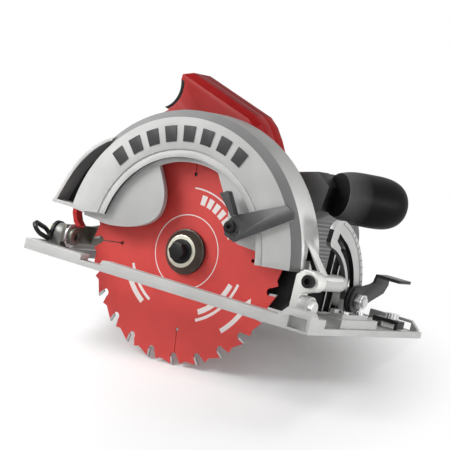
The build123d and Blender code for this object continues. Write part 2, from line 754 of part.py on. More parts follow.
bearing_start = guard_back + box_plate
with BuildPart() as spindle_front_bearing:
    with BuildSketch(at(bearing_start)):
        Circle(front_bearing_outer / 2 - seat / 2)
        Circle(front_bearing_bore / 2 + seat / 2, mode=Mode.SUBTRACT)
    extrude(amount=front_bearing_width)
    with BuildSketch(at(bearing_start)):
        Circle(front_bearing_outer / 2 - 3.0)
        Circle(front_bearing_bore / 2 + 3.0, mode=Mode.SUBTRACT)
    extrude(amount=1.0, mode=Mode.SUBTRACT)
spindle_front_bearing.part.label = "spindle_front_bearing"

# Gear housing with the rear lug of the depth lock and the bore of the spindle lock
depth_x = pivot_x - depth_radius
depth_z = pivot_z
lug_start = bracket_face + bracket_plate + gap
depth_lug_width = 8.0
depth_lug_radius = 9.0
depth_bolt_radius = 4.0
arm_bearing_outer = 28.0
arm_bearing_width = 8.0
lock_way = 200.0
lock_pin_radius = 2.5
lock_pin_y = gear_wall_start - 4.0
lock_plane = Plane(origin=(0, blade_y + lock_pin_y, axis_z), x_dir=(0, 1, 0),
                   z_dir=(cos(radians(lock_way)), 0, sin(radians(lock_way))))
with BuildPart() as gear_housing:
    with BuildSketch(at(gear_wall_end)):
        add(housing_outline(0.0))
    extrude(amount=gear_wall_end - guard_back)
    with BuildSketch(at(lug_start + depth_lug_width)):
        with Locations((depth_x, depth_z)):
            Circle(depth_lug_radius)
        add(polygon((depth_x, depth_z + depth_lug_radius), (-24.0, 16.0), (-24.0, -4.0),
                    (depth_x, depth_z - depth_lug_radius)))
        with Locations((depth_x, depth_z)):
            Circle(depth_bolt_radius + seat, mode=Mode.SUBTRACT)
    extrude(amount=depth_lug_width)
    with BuildSketch(at(gear_wall_start)):
        add(housing_outline(-housing_wall))
    extrude(amount=gear_wall_start - guard_back, mode=Mode.SUBTRACT)
    with BuildSketch(at(gear_wall_start + rear_bearing_width)):
        Circle(rear_bearing_outer / 2)
    extrude(amount=rear_bearing_width, mode=Mode.SUBTRACT)
    with BuildSketch(at(gear_wall_start + arm_bearing_width)):
        with Locations((motor_x, motor_z)):
            Circle(arm_bearing_outer / 2)
    extrude(amount=arm_bearing_width, mode=Mode.SUBTRACT)
    with BuildSketch(at(gear_wall_end)):
        with Locations((motor_x, motor_z)):
            Circle(shaft_radius + 2.0)
    extrude(amount=gear_wall_end - gear_wall_start, mode=Mode.SUBTRACT)
    with BuildSketch(lock_plane.offset(spindle_boss_radius - 2 * housing_wall)):
        Circle(lock_pin_radius + running)
    extrude(amount=4 * housing_wall, mode=Mode.SUBTRACT)
gear_housing.part.label = "gear_housing"

with BuildPart() as spindle_rear_bearing:
    with BuildSketch(at(gear_wall_start + rear_bearing_width)):
        Circle(rear_bearing_outer / 2 - seat / 2)
        Circle(rear_bearing_bore / 2 + seat / 2, mode=Mode.SUBTRACT)
    extrude(amount=rear_bearing_width)
spindle_rear_bearing.part.label = "spindle_rear_bearing"

with BuildPart() as armature_front_bearing:
    with BuildSketch(at(gear_wall_start + arm_bearing_width, motor_x, motor_z)):
        Circle(arm_bearing_outer / 2 - seat / 2)
        Circle(shaft_radius + seat / 2, mode=Mode.SUBTRACT)
    extrude(amount=arm_bearing_width)
armature_front_bearing.part.label = "armature_front_bearing"

# Spindle, gear, flanges, blade and bolt turn together
gear_start = bearing_start + 4.0
spindle_nose = 5.0
with BuildPart() as spindle:
    with BuildSketch(at(inner_flange_end)):
        Circle(arbor_diameter / 2 - running)
    extrude(amount=inner_flange_end + spindle_nose)
    with BuildSketch(at(gear_start)):
        Circle(front_bearing_bore / 2)
    extrude(amount=gear_start - inner_flange_end)
    with BuildSketch(at(gear_start + gear_face)):
        Circle(arbor_diameter / 2 - 0.5)
    extrude(amount=gear_face)
    with BuildSketch(at(gear_wall_start - 1.0)):
        Circle(rear_bearing_bore / 2 + 2.5)
    extrude(amount=gear_wall_start - 1.0 - gear_start - gear_face)
    with BuildSketch(at(gear_wall_start + rear_bearing_width)):
        Circle(rear_bearing_bore / 2)
    extrude(amount=rear_bearing_width + 1.0)
    with BuildSketch(at(gear_start - 4.0)):
        Circle(bolt_thread / 2 + running)
    extrude(amount=gear_start - 4.0 + spindle_nose, mode=Mode.SUBTRACT)
spindle.part.label = "spindle"

gear_turn = motor_angle
with BuildPart() as driven_gear:
    with BuildSketch(at(gear_start + gear_face)):
        add(gear_outline(gear_teeth, gear_turn))
        Circle(arbor_diameter / 2 - 0.5 + seat, mode=Mode.SUBTRACT)
        with PolarLocations(gear_module * gear_teeth / 4 + 3.5, 6):
            Circle(4.0, mode=Mode.SUBTRACT)
    extrude(amount=gear_face)
driven_gear.part.label = "driven_gear"

with BuildPart() as inner_flange:
    with BuildSketch(at(inner_flange_end)):
        Circle(flange_radius)
        Circle(arbor_diameter / 2 + running, mode=Mode.SUBTRACT)
    extrude(amount=inner_flange_end - blade_plate / 2)
inner_flange.part.label = "inner_flange"

plate_tip = blade_radius - 0.5
tooth_pitch = 360.0 / tooth_count
tooth_phase = 6.1
shoulder_drop = 0.9
dip_depth = 3.2
expansion_length = 20.0
expansion_width = 0.8
with BuildPart() as blade:
    with BuildSketch(at(blade_plate / 2)):
        with BuildLine():
            for tooth in range(tooth_count):
                tip = tooth_phase + tooth * tooth_pitch
                foot = polar(plate_tip - gullet_depth + 2.0, tip - 1.2)
                bottom = polar(plate_tip - gullet_depth, tip + 0.8)
                rise = polar(plate_tip - gullet_depth + 3.0, tip + 3.1)
                shoulder = polar(plate_tip - shoulder_drop, tip + 5.4)
                dip = polar(plate_tip - dip_depth, tip + 7.8)
                following = polar(plate_tip, tip + tooth_pitch)
                Line(polar(plate_tip, tip), foot)
                ThreePointArc(foot, bottom, rise)
                Polyline(rise, shoulder, dip, following)
        make_face()
        Circle(arbor_diameter / 2, mode=Mode.SUBTRACT)
        with PolarLocations(plate_tip - gullet_depth - expansion_length / 2 + 1.0, 4, start_angle=tooth_phase + 1.2):
            Rectangle(expansion_length, expansion_width, mode=Mode.SUBTRACT)
        with PolarLocations(plate_tip - gullet_depth - expansion_length + 1.0, 4, start_angle=tooth_phase + 1.2):
            Circle(1.6, mode=Mode.SUBTRACT)
    extrude(amount=blade_plate)
blade.part.label = "blade"

with BuildPart() as carbide_tips:
    with BuildSketch(at(kerf / 2)):
        for tooth in range(tooth_count):
            turn = tooth_phase + tooth * tooth_pitch
            tip = Vector(*polar(plate_tip, turn))
            foot = Vector(*polar(plate_tip - gullet_depth + 2.0, turn - 1.2))
            along = (foot - tip).normalized()
            ahead = Vector(-tip.Y, tip.X).normalized()
            corners = (tip, tip + along * tip_length, tip + along * tip_length + ahead * tip_thickness,
                       tip + ahead * tip_thickness - along * 0.4)
            add(polygon(*[(corner.X, corner.Y) for corner in corners]))
    extrude(amount=kerf)
carbide_tips.part.label = "carbide_tips"

flange_step = 3.0
flange_nose = 8.0
nose_radius = 13.2
flange_slope = degrees(atan2(flange_radius - 1.0 - nose_radius, flange_nose - flange_step))
with BuildPart() as outer_flange:
    with BuildSketch(at(-blade_plate / 2)):
        Circle(flange_radius)
    extrude(amount=flange_step)
    with BuildSketch(at(-blade_plate / 2 - flange_step)):
        Circle(flange_radius - 1.0)
    extrude(amount=flange_nose - flange_step, taper=flange_slope)
    with BuildSketch(at(-blade_plate / 2)):
        Circle(arbor_diameter / 2 + running)
    extrude(amount=flange_nose - 2.5, mode=Mode.SUBTRACT)
    with BuildSketch(at(-blade_plate / 2)):
        Circle(bolt_thread / 2 + 0.3)
    extrude(amount=flange_nose, mode=Mode.SUBTRACT)
outer_flange.part.label = "outer_flange"

bolt_seat = -blade_plate / 2 - flange_nose
hex_height = 6.5
hex_across = 13.0
with BuildPart() as blade_bolt:
    with BuildSketch(at(gear_start - 8.0)):
        Circle(bolt_thread / 2)
    extrude(amount=gear_start - 8.0 - bolt_seat)
    with BuildSketch(at(bolt_seat)):
        Circle(10.0)
    extrude(amount=1.6)
    with BuildSketch(at(bolt_seat - 1.6)):
        RegularPolygon(hex_across / 2, 6, major_radius=False)
    extrude(amount=hex_height)
blade_bolt.part.label = "blade_bolt"

# Lower guard: hub, back plate, rim and a front plate with a window over the blade
lever_back_y = guard_face - trim_height - 0.5
lever_thickness = 2.2
lever_boss = (48.0, 31.0)
lever_screw_radius = 2.5
petal_return = 5.0
petal_edge = ((-40.0, 68.0), (-32.3, 54.7), (-25.6, 39.7), (-26.8, 24.4), (-45.1, 10.6), (-80.6, 5.6))
with BuildPart() as lower_guard:
    with BuildSketch(at(lower_back + lower_wall)):
        add(sector(snout_radius + running, lower_radius, lower_start, lower_end))
        Circle(snout_radius + lower_hub)
        Circle(snout_radius + running, mode=Mode.SUBTRACT)
    extrude(amount=lower_wall)
    with BuildSketch(at(guard_back - guard_wall - gap)):
        Circle(snout_radius + lower_hub)
        Circle(snout_radius + running, mode=Mode.SUBTRACT)
    extrude(amount=guard_back - guard_wall - gap - lower_back)
    with BuildSketch(at(lower_back + lower_wall)):
        add(sector(lower_radius - lower_wall, lower_radius, lower_start, lower_end))
    extrude(amount=lower_back + lower_wall - lower_front)
    with BuildSketch(at(lower_front + lower_wall)):
        add(sector(strip_radius, lower_radius, lower_start, lower_end))
        with BuildLine():
            Spline(*petal_edge)
            Polyline(petal_edge[-1], (-75.0, 20.0), (-65.0, 45.0), petal_edge[0])
        make_face()
        add(polygon((14.0, 74.0), (18.4, 71.3), (27.6, 57.1), (36.1, 46.0), (38.5, 36.0), (39.5, 25.0), (52.7, 18.5),
                    (76.0, 17.0), (66.0, 40.0), (45.0, 62.0)))
    extrude(amount=lower_wall)
    with BuildSketch(at(lower_front + petal_return)):
        with BuildLine():
            Spline(*petal_edge)
        trace(line_width=lower_wall)
    extrude(amount=petal_return)
    with BuildSketch(at(lower_front)):
        with Locations(lever_boss):
            Circle(7.0)
    extrude(amount=lower_front - lever_back_y)
    with BuildSketch(at(lower_front + lower_wall)):
        with Locations(lever_boss):
            Circle(lever_screw_radius + seat)
    extrude(amount=lower_front + lower_wall - lever_back_y, mode=Mode.SUBTRACT)
lower_guard.part.label = "lower_guard"

tab_outer = 5.0
with BuildPart() as guard_lever:
    with BuildSketch(at(lever_back_y)):
        add(polygon((48.0, 40.5), (93.0, 59.5), (101.0, 55.5), (102.5, 50.0), (54.0, 20.0), (44.0, 24.0),
                    (42.0, 32.0)))
        add(polygon((46.5, 39.0), (52.0, 41.5), (41.0, 58.5), (31.0, 55.0)))
        with Locations(lever_boss):
            Circle(lever_screw_radius + seat, mode=Mode.SUBTRACT)
        with Locations((57.0, 29.0)):
            Circle(1.8, mode=Mode.SUBTRACT)
    extrude(amount=lever_thickness)
    with BuildSketch(at(lever_back_y - lever_thickness)):
        add(polygon((50.0, 41.0), (52.0, 41.5), (41.0, 58.5), (39.0, 57.8)))
    extrude(amount=tab_outer)
guard_lever.part.label = "guard_lever"

with BuildPart() as guard_lever_screw:
    with BuildSketch(at(lower_front + lower_wall)):
        with Locations(lever_boss):
            Circle(lever_screw_radius)
    extrude(amount=lower_front + lower_wall - lever_back_y + lever_thickness)
    with BuildSketch(at(lever_back_y - lever_thickness)):
        with Locations(lever_boss):
            Circle(5.0)
            RegularPolygon(2.0, 6, mode=Mode.SUBTRACT)
    extrude(amount=2.4)
guard_lever_screw.part.label = "guard_lever_screw"

with BuildPart() as guard_retaining_ring:
    with BuildSketch(at(lower_back - gap)):
        Circle(snout_radius + 2.6)
        Circle(snout_radius + running, mode=Mode.SUBTRACT)
    extrude(amount=0.9)
guard_retaining_ring.part.label = "guard_retaining_ring"

# Flat spiral return spring round the lower guard's hub, drawn as half turns that grow outward
wire_radius = 0.6
spring_radius = snout_radius + lower_hub + 1.6
spring_step = 0.9
spring_turns = 2
spring_plane = at((lower_back + lower_wall + guard_back - guard_wall) / 2)
with BuildPart() as guard_spring:
    with BuildLine(spring_plane) as spring_path:
        for turn in range(spring_turns):
            first = spring_radius + 2 * spring_step * turn
            CenterArc((0, 0), first, 0, 180)
            CenterArc((spring_step, 0), first + spring_step, 180, 180)
    with BuildSketch(Plane(origin=spring_path.line @ 0, z_dir=spring_path.line % 0)):
        Circle(wire_radius)
    sweep()
guard_spring.part.label = "guard_spring"

# Armature with its pinion, fan and commutator
fan_start = gear_wall_end + 4.0
fan_width = 10.0
fan_radius = 38.0
commutator_radius = 15.0
commutator_start = stator_end + 3.0
commutator_width = 14.0
cap_bearing_start = motor_end + 4.0
pinion_bore = 3.5
with BuildPart() as armature:
    with BuildSketch(at(gear_wall_start - 1.0, motor_x, motor_z)):
        Circle(pinion_bore)
    extrude(amount=gear_wall_start - gear_start)
    with BuildSketch(at(cap_bearing_start, motor_x, motor_z)):
        Circle(shaft_radius)
    extrude(amount=cap_bearing_start - gear_wall_start + 1.0)
    with BuildSketch(at(cap_bearing_start + rear_bearing_width, motor_x, motor_z)):
        Circle(rear_bearing_bore / 2)
    extrude(amount=rear_bearing_width)
    with BuildSketch(at(stator_end - 2.0, motor_x, motor_z)):
        Circle(core_radius)
        with PolarLocations(core_radius, 12):
            Rectangle(6.0, 3.0, mode=Mode.SUBTRACT)
        Circle(shaft_radius, mode=Mode.SUBTRACT)
    extrude(amount=stator_end - stator_start - 4.0)
armature.part.label = "armature"

pinion_turn = motor_angle + 180.0 + 180.0 / pinion_teeth
with BuildPart() as pinion:
    with BuildSketch(at(gear_start + gear_face + 1.0, motor_x, motor_z)):
        add(gear_outline(pinion_teeth, pinion_turn))
        Circle(pinion_bore + seat / 2, mode=Mode.SUBTRACT)
    extrude(amount=gear_face + 2.0)
pinion.part.label = "pinion"

with BuildPart() as cooling_fan:
    with BuildSketch(at(fan_start + fan_width, motor_x, motor_z)):
        Circle(fan_radius)
        Circle(shaft_radius + seat / 2, mode=Mode.SUBTRACT)
    extrude(amount=2.0)
    with BuildSketch(at(fan_start + fan_width - 2.0, motor_x, motor_z)):
        Circle(11.0)
        with PolarLocations(fan_radius * 0.62, 11):
            Rectangle(fan_radius * 0.7, 1.6, rotation=25)
        Circle(shaft_radius + seat / 2, mode=Mode.SUBTRACT)
    extrude(amount=fan_width - 2.0)
cooling_fan.part.label = "cooling_fan"

with BuildPart() as commutator:
    with BuildSketch(at(commutator_start + commutator_width, motor_x, motor_z)):
        Circle(commutator_radius)
        with PolarLocations(commutator_radius, 24):
            Rectangle(2.0, 0.6, mode=Mode.SUBTRACT)
        Circle(shaft_radius + seat / 2, mode=Mode.SUBTRACT)
    extrude(amount=commutator_width)
commutator.part.label = "commutator"

with BuildPart() as armature_rear_bearing:
    with BuildSketch(at(cap_bearing_start + rear_bearing_width, motor_x, motor_z)):
        Circle(rear_bearing_outer / 2 - seat / 2)
        Circle(rear_bearing_bore / 2 + seat / 2, mode=Mode.SUBTRACT)
    extrude(amount=rear_bearing_width)
armature_rear_bearing.part.label = "armature_rear_bearing"

motor_bore = motor_radius - motor_wall
with BuildPart() as stator:
    with BuildSketch(at(stator_end, motor_x, motor_z)):
        Circle(motor_bore - seat)
        Circle(stator_bore, mode=Mode.SUBTRACT)
        with PolarLocations((motor_bore + stator_bore) / 2, 4, start_angle=45):
            Rectangle(9.0, 16.0, mode=Mode.SUBTRACT)
    extrude(amount=stator_end - stator_start)
stator.part.label = "stator"

# Brush gear on two sides of the commutator
brush_y = commutator_start + commutator_width / 2
brush_wide = 6.0
brush_long = 10.0
holder_wall = 1.5
brush_cap_radius = 7.0
brush_sides = (0.0, 180.0)
with BuildPart() as carbon_brushes:
    for side in brush_sides:
        start = commutator_radius + 0.3
        for_side = Plane(origin=(motor_x, blade_y + brush_y, axis_z + motor_z), x_dir=(0, 1, 0),
                         z_dir=(cos(radians(side)), 0, sin(radians(side))))
        with BuildSketch(for_side.offset(start)):
            Rectangle(brush_long, brush_wide)
        extrude(amount=14.0)
carbon_brushes.part.label = "carbon_brushes"

with BuildPart() as brush_holders:
    for side in brush_sides:
        for_side = Plane(origin=(motor_x, blade_y + brush_y, axis_z + motor_z), x_dir=(0, 1, 0),
                         z_dir=(cos(radians(side)), 0, sin(radians(side))))
        with BuildSketch(for_side.offset(commutator_radius + 3.0)):
            Rectangle(brush_long + 2 * holder_wall, brush_wide + 2 * holder_wall)
            Rectangle(brush_long + 2 * seat, brush_wide + 2 * seat, mode=Mode.SUBTRACT)
        extrude(amount=motor_bore - 1.5 - commutator_radius - 3.0)
brush_holders.part.label = "brush_holders"

with BuildPart() as brush_caps:
    for side in brush_sides:
        for_side = Plane(origin=(motor_x, blade_y + brush_y, axis_z + motor_z), x_dir=(0, 1, 0),
                         z_dir=(cos(radians(side)), 0, sin(radians(side))))
        with BuildSketch(for_side.offset(motor_bore - 1.0)):
            Circle(brush_cap_radius)
        extrude(amount=motor_wall + 2.0)
        with BuildSketch(for_side.offset(motor_bore + motor_wall + 1.0)):
            Rectangle(2 * brush_cap_radius, 1.6)
        extrude(amount=-1.2, mode=Mode.SUBTRACT)
brush_caps.part.label = "brush_caps"

# Front knob: a bulb on an axis that leans forward from the motor's axis
knob_base = Vector(90.8, blade_y + 58.8, axis_z + 72.6)
knob_lean = 28.5
knob_length = 64.0
knob_width = 21.5
knob_face = 18.0
knob_axis = Vector(sin(radians(knob_lean)), cos(radians(knob_lean)), 0)
knob_plane = Plane(origin=knob_base, x_dir=(0, 0, 1), z_dir=Vector(0, 0, 1).cross(knob_axis))
with BuildPart() as aux_handle:
    with BuildSketch(knob_plane):
        with BuildLine():
            Line((0, 0), (knob_face, 0))
            Spline((knob_face, 0), (knob_width, knob_length * 0.45), (0, knob_length),
                   tangents=((0.35, 1.0), (-1.0, 0.0)))
            Line((0, knob_length), (0, 0))
        make_face()
    revolve(axis=Axis(knob_base, knob_axis))
aux_handle.part.label = "aux_handle"

# Motor housing with the bracket of the front knob and its vents
bracket_root = handle_y + handle_half + 0.4
bracket_start = 45.0
bracket_end = 76.0
vent_rows = 6
vent_pitch = 5.0
with BuildPart() as motor_housing:
    with BuildSketch(at(motor_end, motor_x, motor_z)):
        Circle(motor_radius)
    extrude(amount=motor_end - gear_wall_end - seat)
    with BuildSketch(at(gear_wall_end + 8.0, motor_x, motor_z)):
        Circle(motor_boss_radius)
    extrude(amount=8.0 - seat)
    with BuildSketch(at(bracket_root + 4.0)):
        add(polygon((49.0, 64.0), (57.0, 83.0), (76.0, 87.5), (89.0, 78.0), (86.0, 57.0), (60.0, 44.0)))
    extrude(amount=bracket_root + 4.0 - bracket_start)
    with BuildSketch(at(bracket_end)):
        add(polygon((30.0, 66.0), (57.0, 82.0), (76.0, 87.0), (84.0, 80.0), (83.0, 57.0), (56.0, 40.0)))
    extrude(amount=bracket_end - bracket_root)
    with BuildSketch(at(motor_end, motor_x, motor_z)):
        Circle(motor_bore)
    extrude(amount=motor_end - gear_wall_end - seat, mode=Mode.SUBTRACT)
    for row in range(vent_rows):
        vent_z = axis_z + 16.0 + row * vent_pitch
        with Locations((motor_x + motor_radius, blade_y + gear_wall_end + 16.0, vent_z)):
            Box(24.0, 18.0, 2.2, mode=Mode.SUBTRACT)
    for side in brush_sides:
        with Locations((motor_x + motor_radius * cos(radians(side)), blade_y + brush_y, axis_z + motor_z)):
            Cylinder(brush_cap_radius + seat, 20.0, rotation=(0, 90, 0), mode=Mode.SUBTRACT)
    add(aux_handle.part, mode=Mode.SUBTRACT)
motor_housing.part.label = "motor_housing"

dome_radius = motor_radius - 9.5
cap_dome = 6.0
with BuildPart() as motor_end_cap:
    with BuildSketch(at(cap_end - cap_dome, motor_x, motor_z)):
        Circle(motor_radius - 1.0)
    extrude(amount=cap_end - cap_dome - motor_end)
    with BuildSketch(at(cap_end - cap_dome, motor_x, motor_z)):
        Circle(dome_radius)
    extrude(amount=-cap_dome, taper=40)
    with BuildSketch(at(cap_bearing_start + rear_bearing_width, motor_x, motor_z)):
        Circle(rear_bearing_outer / 2)
    extrude(amount=rear_bearing_width + 4.0, mode=Mode.SUBTRACT)
    with BuildSketch(at(motor_end + 8.0, motor_x, motor_z)):
        Circle(motor_bore)
        Circle(rear_bearing_outer / 2 + 4.0, mode=Mode.SUBTRACT)
    extrude(amount=8.0, mode=Mode.SUBTRACT)
motor_end_cap.part.label = "motor_end_cap"

# Rear handle: two shells about a loop for the fingers, with a rubber back
handle_rear = -114.0
handle_edge = ((-71.0, 100.5), (-84.0, 92.0), (-101.0, 74.0), (handle_rear, 44.0), (handle_rear, 21.0), (-62.0, 21.0),
               (-30.0, 24.0), (0.0, 40.0), (26.0, 60.0), (44.0, 76.0), (40.0, 91.0), (32.5, 103.5), (25.0, 113.5),
               (17.0, 120.0), (-50.0, 141.0), (-57.0, 138.0), (-57.5, 133.0))
palm_hollow = ((-57.5, 133.0), (-57.0, 120.9), (-67.5, 108.1))
palm_hook = (-62.5, 106.8)
pad_depth = 3.4
finger_gap = ((-80.0, 44.0), (-51.0, 97.0), (-12.0, 91.0), (-22.0, 74.0), (-33.0, 54.0), (-38.0, 44.0))
pad_low = ((-73.0, 99.2), (-84.0, 92.0), (-101.0, 74.0), (-113.2, 46.0), (-109.5, 46.0), (-98.0, 72.0),
           (-82.0, 89.0), (-72.0, 95.6))
trigger_well = ((-84.0, 58.0), (-66.0, 103.0), (-44.0, 103.0), (-44.0, 80.0), (-66.0, 58.0))
well_half = 7.0
edge_chamfer = 5.0
core_inset = handle_wall + edge_chamfer - 1.0
gland_radius = 8.5
cord_radius = 4.2
gland_length = 20.0
gland_plane = Plane(origin=(handle_rear, blade_y + handle_y, axis_z + 33.0), z_dir=(-1, 0, 0))
ridge_floor = 90.0
ridge_ceiling = 150.0
ridge_rear = -52.0


def palm_pad():
    """Sketch of the rubber on the rear edge of the handle, above and below the hook."""
    with BuildSketch() as pad:
        with BuildLine():
            ThreePointArc(*palm_hollow)
            Line(palm_hollow[2], (palm_hollow[2][0] + pad_depth, palm_hollow[2][1] - 0.8))
            ThreePointArc(*[(x + pad_depth, z - (0.8 if z < 110.0 else 0.0)) for x, z in reversed(palm_hollow)])
            Line((palm_hollow[0][0] + pad_depth, palm_hollow[0][1]), palm_hollow[0])
        make_face()
        add(polygon(*pad_low))
    return pad.sketch


def handle_profile():
    """Sketch of the handle beside the gear housing, with the finger loop cut out."""
    with BuildSketch() as profile:
        with BuildLine():
            Polyline(*handle_edge)
            ThreePointArc(*palm_hollow)
            Polyline(palm_hollow[2], palm_hook, handle_edge[0])
        make_face()
        add(polygon(*finger_gap), mode=Mode.SUBTRACT)
        add(palm_pad(), mode=Mode.SUBTRACT)
        add(housing_outline(seat), mode=Mode.SUBTRACT)
    return profile.sketch


def handle_core():
    """Sketch of the hollow inside one handle shell."""
    with BuildSketch() as core:
        add(handle_profile())
        offset(amount=-core_inset, mode=Mode.REPLACE)
    return core.sketch


with BuildPart() as handle_right_shell:
    with BuildSketch(at(handle_y)):
        add(handle_profile())
    extrude(amount=handle_half)
    side_edges = faces().sort_by(Axis.Y)[0].outer_wire().edges()
    ridge = side_edges.filter_by_position(Axis.Z, axis_z + ridge_floor, axis_z + ridge_ceiling)
    chamfer(ridge.filter_by_position(Axis.X, ridge_rear, base_front), length=edge_chamfer)
    with BuildSketch(at(handle_y)):
        add(handle_core())
    extrude(amount=handle_half - core_inset, mode=Mode.SUBTRACT)
    with BuildSketch(at(handle_y)):
        add(polygon(*trigger_well))
    extrude(amount=well_half, mode=Mode.SUBTRACT)
    with BuildSketch(gland_plane):
        Circle(cord_radius + gap)
    extrude(amount=-2 * core_inset, mode=Mode.SUBTRACT)
handle_right_shell.part.label = "handle_right_shell"

with BuildPart() as handle_left_shell:
    with BuildSketch(at(handle_y + handle_half)):
        add(handle_profile())
    extrude(amount=handle_half)
    side_edges = faces().sort_by(Axis.Y)[-1].outer_wire().edges()
    ridge = side_edges.filter_by_position(Axis.Z, axis_z + ridge_floor, axis_z + ridge_ceiling)
    chamfer(ridge.filter_by_position(Axis.X, ridge_rear, base_front), length=edge_chamfer)
    with BuildSketch(at(handle_y + handle_half - core_inset)):
        add(handle_core())
    extrude(amount=handle_half - core_inset, mode=Mode.SUBTRACT)
    with BuildSketch(at(handle_y + well_half)):
        add(polygon(*trigger_well))
    extrude(amount=well_half, mode=Mode.SUBTRACT)
    with BuildSketch(gland_plane):
        Circle(cord_radius + gap)
    extrude(amount=-2 * core_inset, mode=Mode.SUBTRACT)
handle_left_shell.part.label = "handle_left_shell"

with BuildPart() as handle_grip:
    with BuildSketch(at(handle_y + handle_half)):
        add(palm_pad())
    extrude(amount=2 * handle_half)
handle_grip.part.label = "handle_grip"

# Trigger on a pin at its top, and the switch behind it
trigger_pivot = (-60.0, 97.0)
trigger_half = 5.5
trigger_pin_radius = 1.5
with BuildPart() as trigger:
    with BuildSketch(at(handle_y + trigger_half)):
        add(polygon((-64.0, 100.0), (-56.0, 100.0), (-45.0, 93.0), (-47.0, 82.0), (-61.0, 66.0), (-67.0, 66.0),
                    (-68.0, 84.0)))
        with Locations(trigger_pivot):
            Circle(trigger_pin_radius + running, mode=Mode.SUBTRACT)
    extrude(amount=2 * trigger_half)
trigger.part.label = "trigger"

with BuildPart() as trigger_pin:
    with BuildSketch(at(handle_y + well_half)):
        with Locations(trigger_pivot):
            Circle(trigger_pin_radius)
    extrude(amount=2 * well_half)
trigger_pin.part.label = "trigger_pin"

with BuildPart() as trigger_switch:
    with BuildSketch(at(handle_y + well_half)):
        add(polygon((-82.0, 61.0), (-74.0, 61.0), (-72.6, 76.0), (-76.0, 76.0)))
    extrude(amount=2 * well_half)
trigger_switch.part.label = "trigger_switch"

# Cord gland at the lower rear of the handle
with BuildPart() as cord_gland:
    with BuildSketch(gland_plane):
        Circle(gland_radius)
    extrude(amount=gland_length, taper=6)
    with BuildSketch(gland_plane):
        Circle(cord_radius)
    extrude(amount=gland_length, mode=Mode.SUBTRACT)
cord_gland.part.label = "cord_gland"

# Screws of the handle shells, on the left side, and of the motor's end cap
handle_screw_places = ((-90.0, 60.0), (-30.0, 116.0), (10.0, 106.0), (-70.0, 32.0))
screw_head_radius = 3.2
screw_head_height = 2.0
cap_screw_circle = (motor_radius - 1.0 + dome_radius) / 2
with BuildPart() as housing_screws:
    with BuildSketch(at(handle_y + handle_half + screw_head_height)):
        with Locations(*handle_screw_places):
            Circle(screw_head_radius)
            RegularPolygon(screw_head_radius / 2, 6, mode=Mode.SUBTRACT)
    extrude(amount=screw_head_height)
    with BuildSketch(at(cap_end - cap_dome, motor_x, motor_z)):
        with PolarLocations(cap_screw_circle, 4, start_angle=45):
            Circle(screw_head_radius)
            RegularPolygon(screw_head_radius / 2, 6, mode=Mode.SUBTRACT)
    extrude(amount=-screw_head_height)
housing_screws.part.label = "housing_screws"

# Depth lock: a bolt through the bracket's slot and the housing's lug, and its lever
depth_head = 1.6
lug_end = lug_start + depth_lug_width
depth_lever_thickness = 4.0
depth_lever_length = 40.0
with BuildPart() as depth_lock_bolt:
    with BuildSketch(at(bracket_face - gap)):
        with Locations((depth_x, depth_z)):
            Circle(7.5)
    extrude(amount=depth_head)
    with BuildSketch(at(lug_end + gap + depth_lever_thickness + 3.0)):
        with Locations((depth_x, depth_z)):
            Circle(depth_bolt_radius)
    extrude(amount=lug_end + gap + depth_lever_thickness + 3.0 - bracket_face + gap)
depth_lock_bolt.part.label = "depth_lock_bolt"

with BuildPart() as depth_lock_lever:
    with BuildSketch(at(lug_end + gap + depth_lever_thickness)):
        with Locations((depth_x, depth_z)):
            Circle(10.0)
        add(polygon((depth_x, depth_z + 9.5), (depth_x - depth_lever_length, depth_z - 2.0),
                    (depth_x - depth_lever_length - 3.0, depth_z - 9.0), (depth_x - 6.0, depth_z - 8.0)))
        with Locations((depth_x, depth_z)):
            Circle(depth_bolt_radius + running, mode=Mode.SUBTRACT)
    extrude(amount=depth_lever_thickness)
depth_lock_lever.part.label = "depth_lock_lever"

# Spindle lock: a button with a pin that slides towards the spindle
button_radius = 6.0
button_height = 6.0
lock_stroke = 4.0
button_seat = spindle_boss_radius + lock_stroke + gap
pin_start = rear_bearing_bore / 2 + 2.5 + lock_stroke + 1.5
with BuildPart() as spindle_lock_button:
    with BuildSketch(lock_plane.offset(pin_start)):
        Circle(lock_pin_radius)
    extrude(amount=button_seat - pin_start)
    with BuildSketch(lock_plane.offset(button_seat)):
        Circle(button_radius)
    extrude(amount=button_height, taper=5)
spindle_lock_button.part.label = "spindle_lock_button"

pieces = (
    base_plate, front_bevel_pin, rear_bevel_bolt, rear_bevel_washer, rear_lock_lever, rear_lock_nut,
    bevel_quadrant, quadrant_screws, fence_clamp, fence_screw, front_tilt_bracket, depth_pivot_bolt,
    bevel_lock_bolt, bevel_lock_disc, bevel_lock_lever, bevel_lock_nut, depth_bracket, upper_guard, guard_trim,
    dust_nozzle, bearing_box, spindle_front_bearing, gear_housing, spindle_rear_bearing, armature_front_bearing,
    spindle, driven_gear, inner_flange, blade, carbide_tips, outer_flange, blade_bolt, lower_guard, guard_lever,
    guard_lever_screw, guard_retaining_ring, guard_spring, armature, pinion, cooling_fan, commutator,
    armature_rear_bearing, stator, carbon_brushes, brush_holders, brush_caps, aux_handle, motor_housing,
    motor_end_cap, handle_right_shell, handle_left_shell, handle_grip, trigger, trigger_pin,
    trigger_switch, cord_gland, housing_screws, depth_lock_bolt, depth_lock_lever, spindle_lock_button,
)
os.makedirs("parts", exist_ok=True)
for piece in pieces:
    export_step(piece.part, f"parts/{piece.part.label}.step")
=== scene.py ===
from math import cos, hypot, pi, radians, sin

import bmesh
import bpy
from mathutils import Matrix, Vector


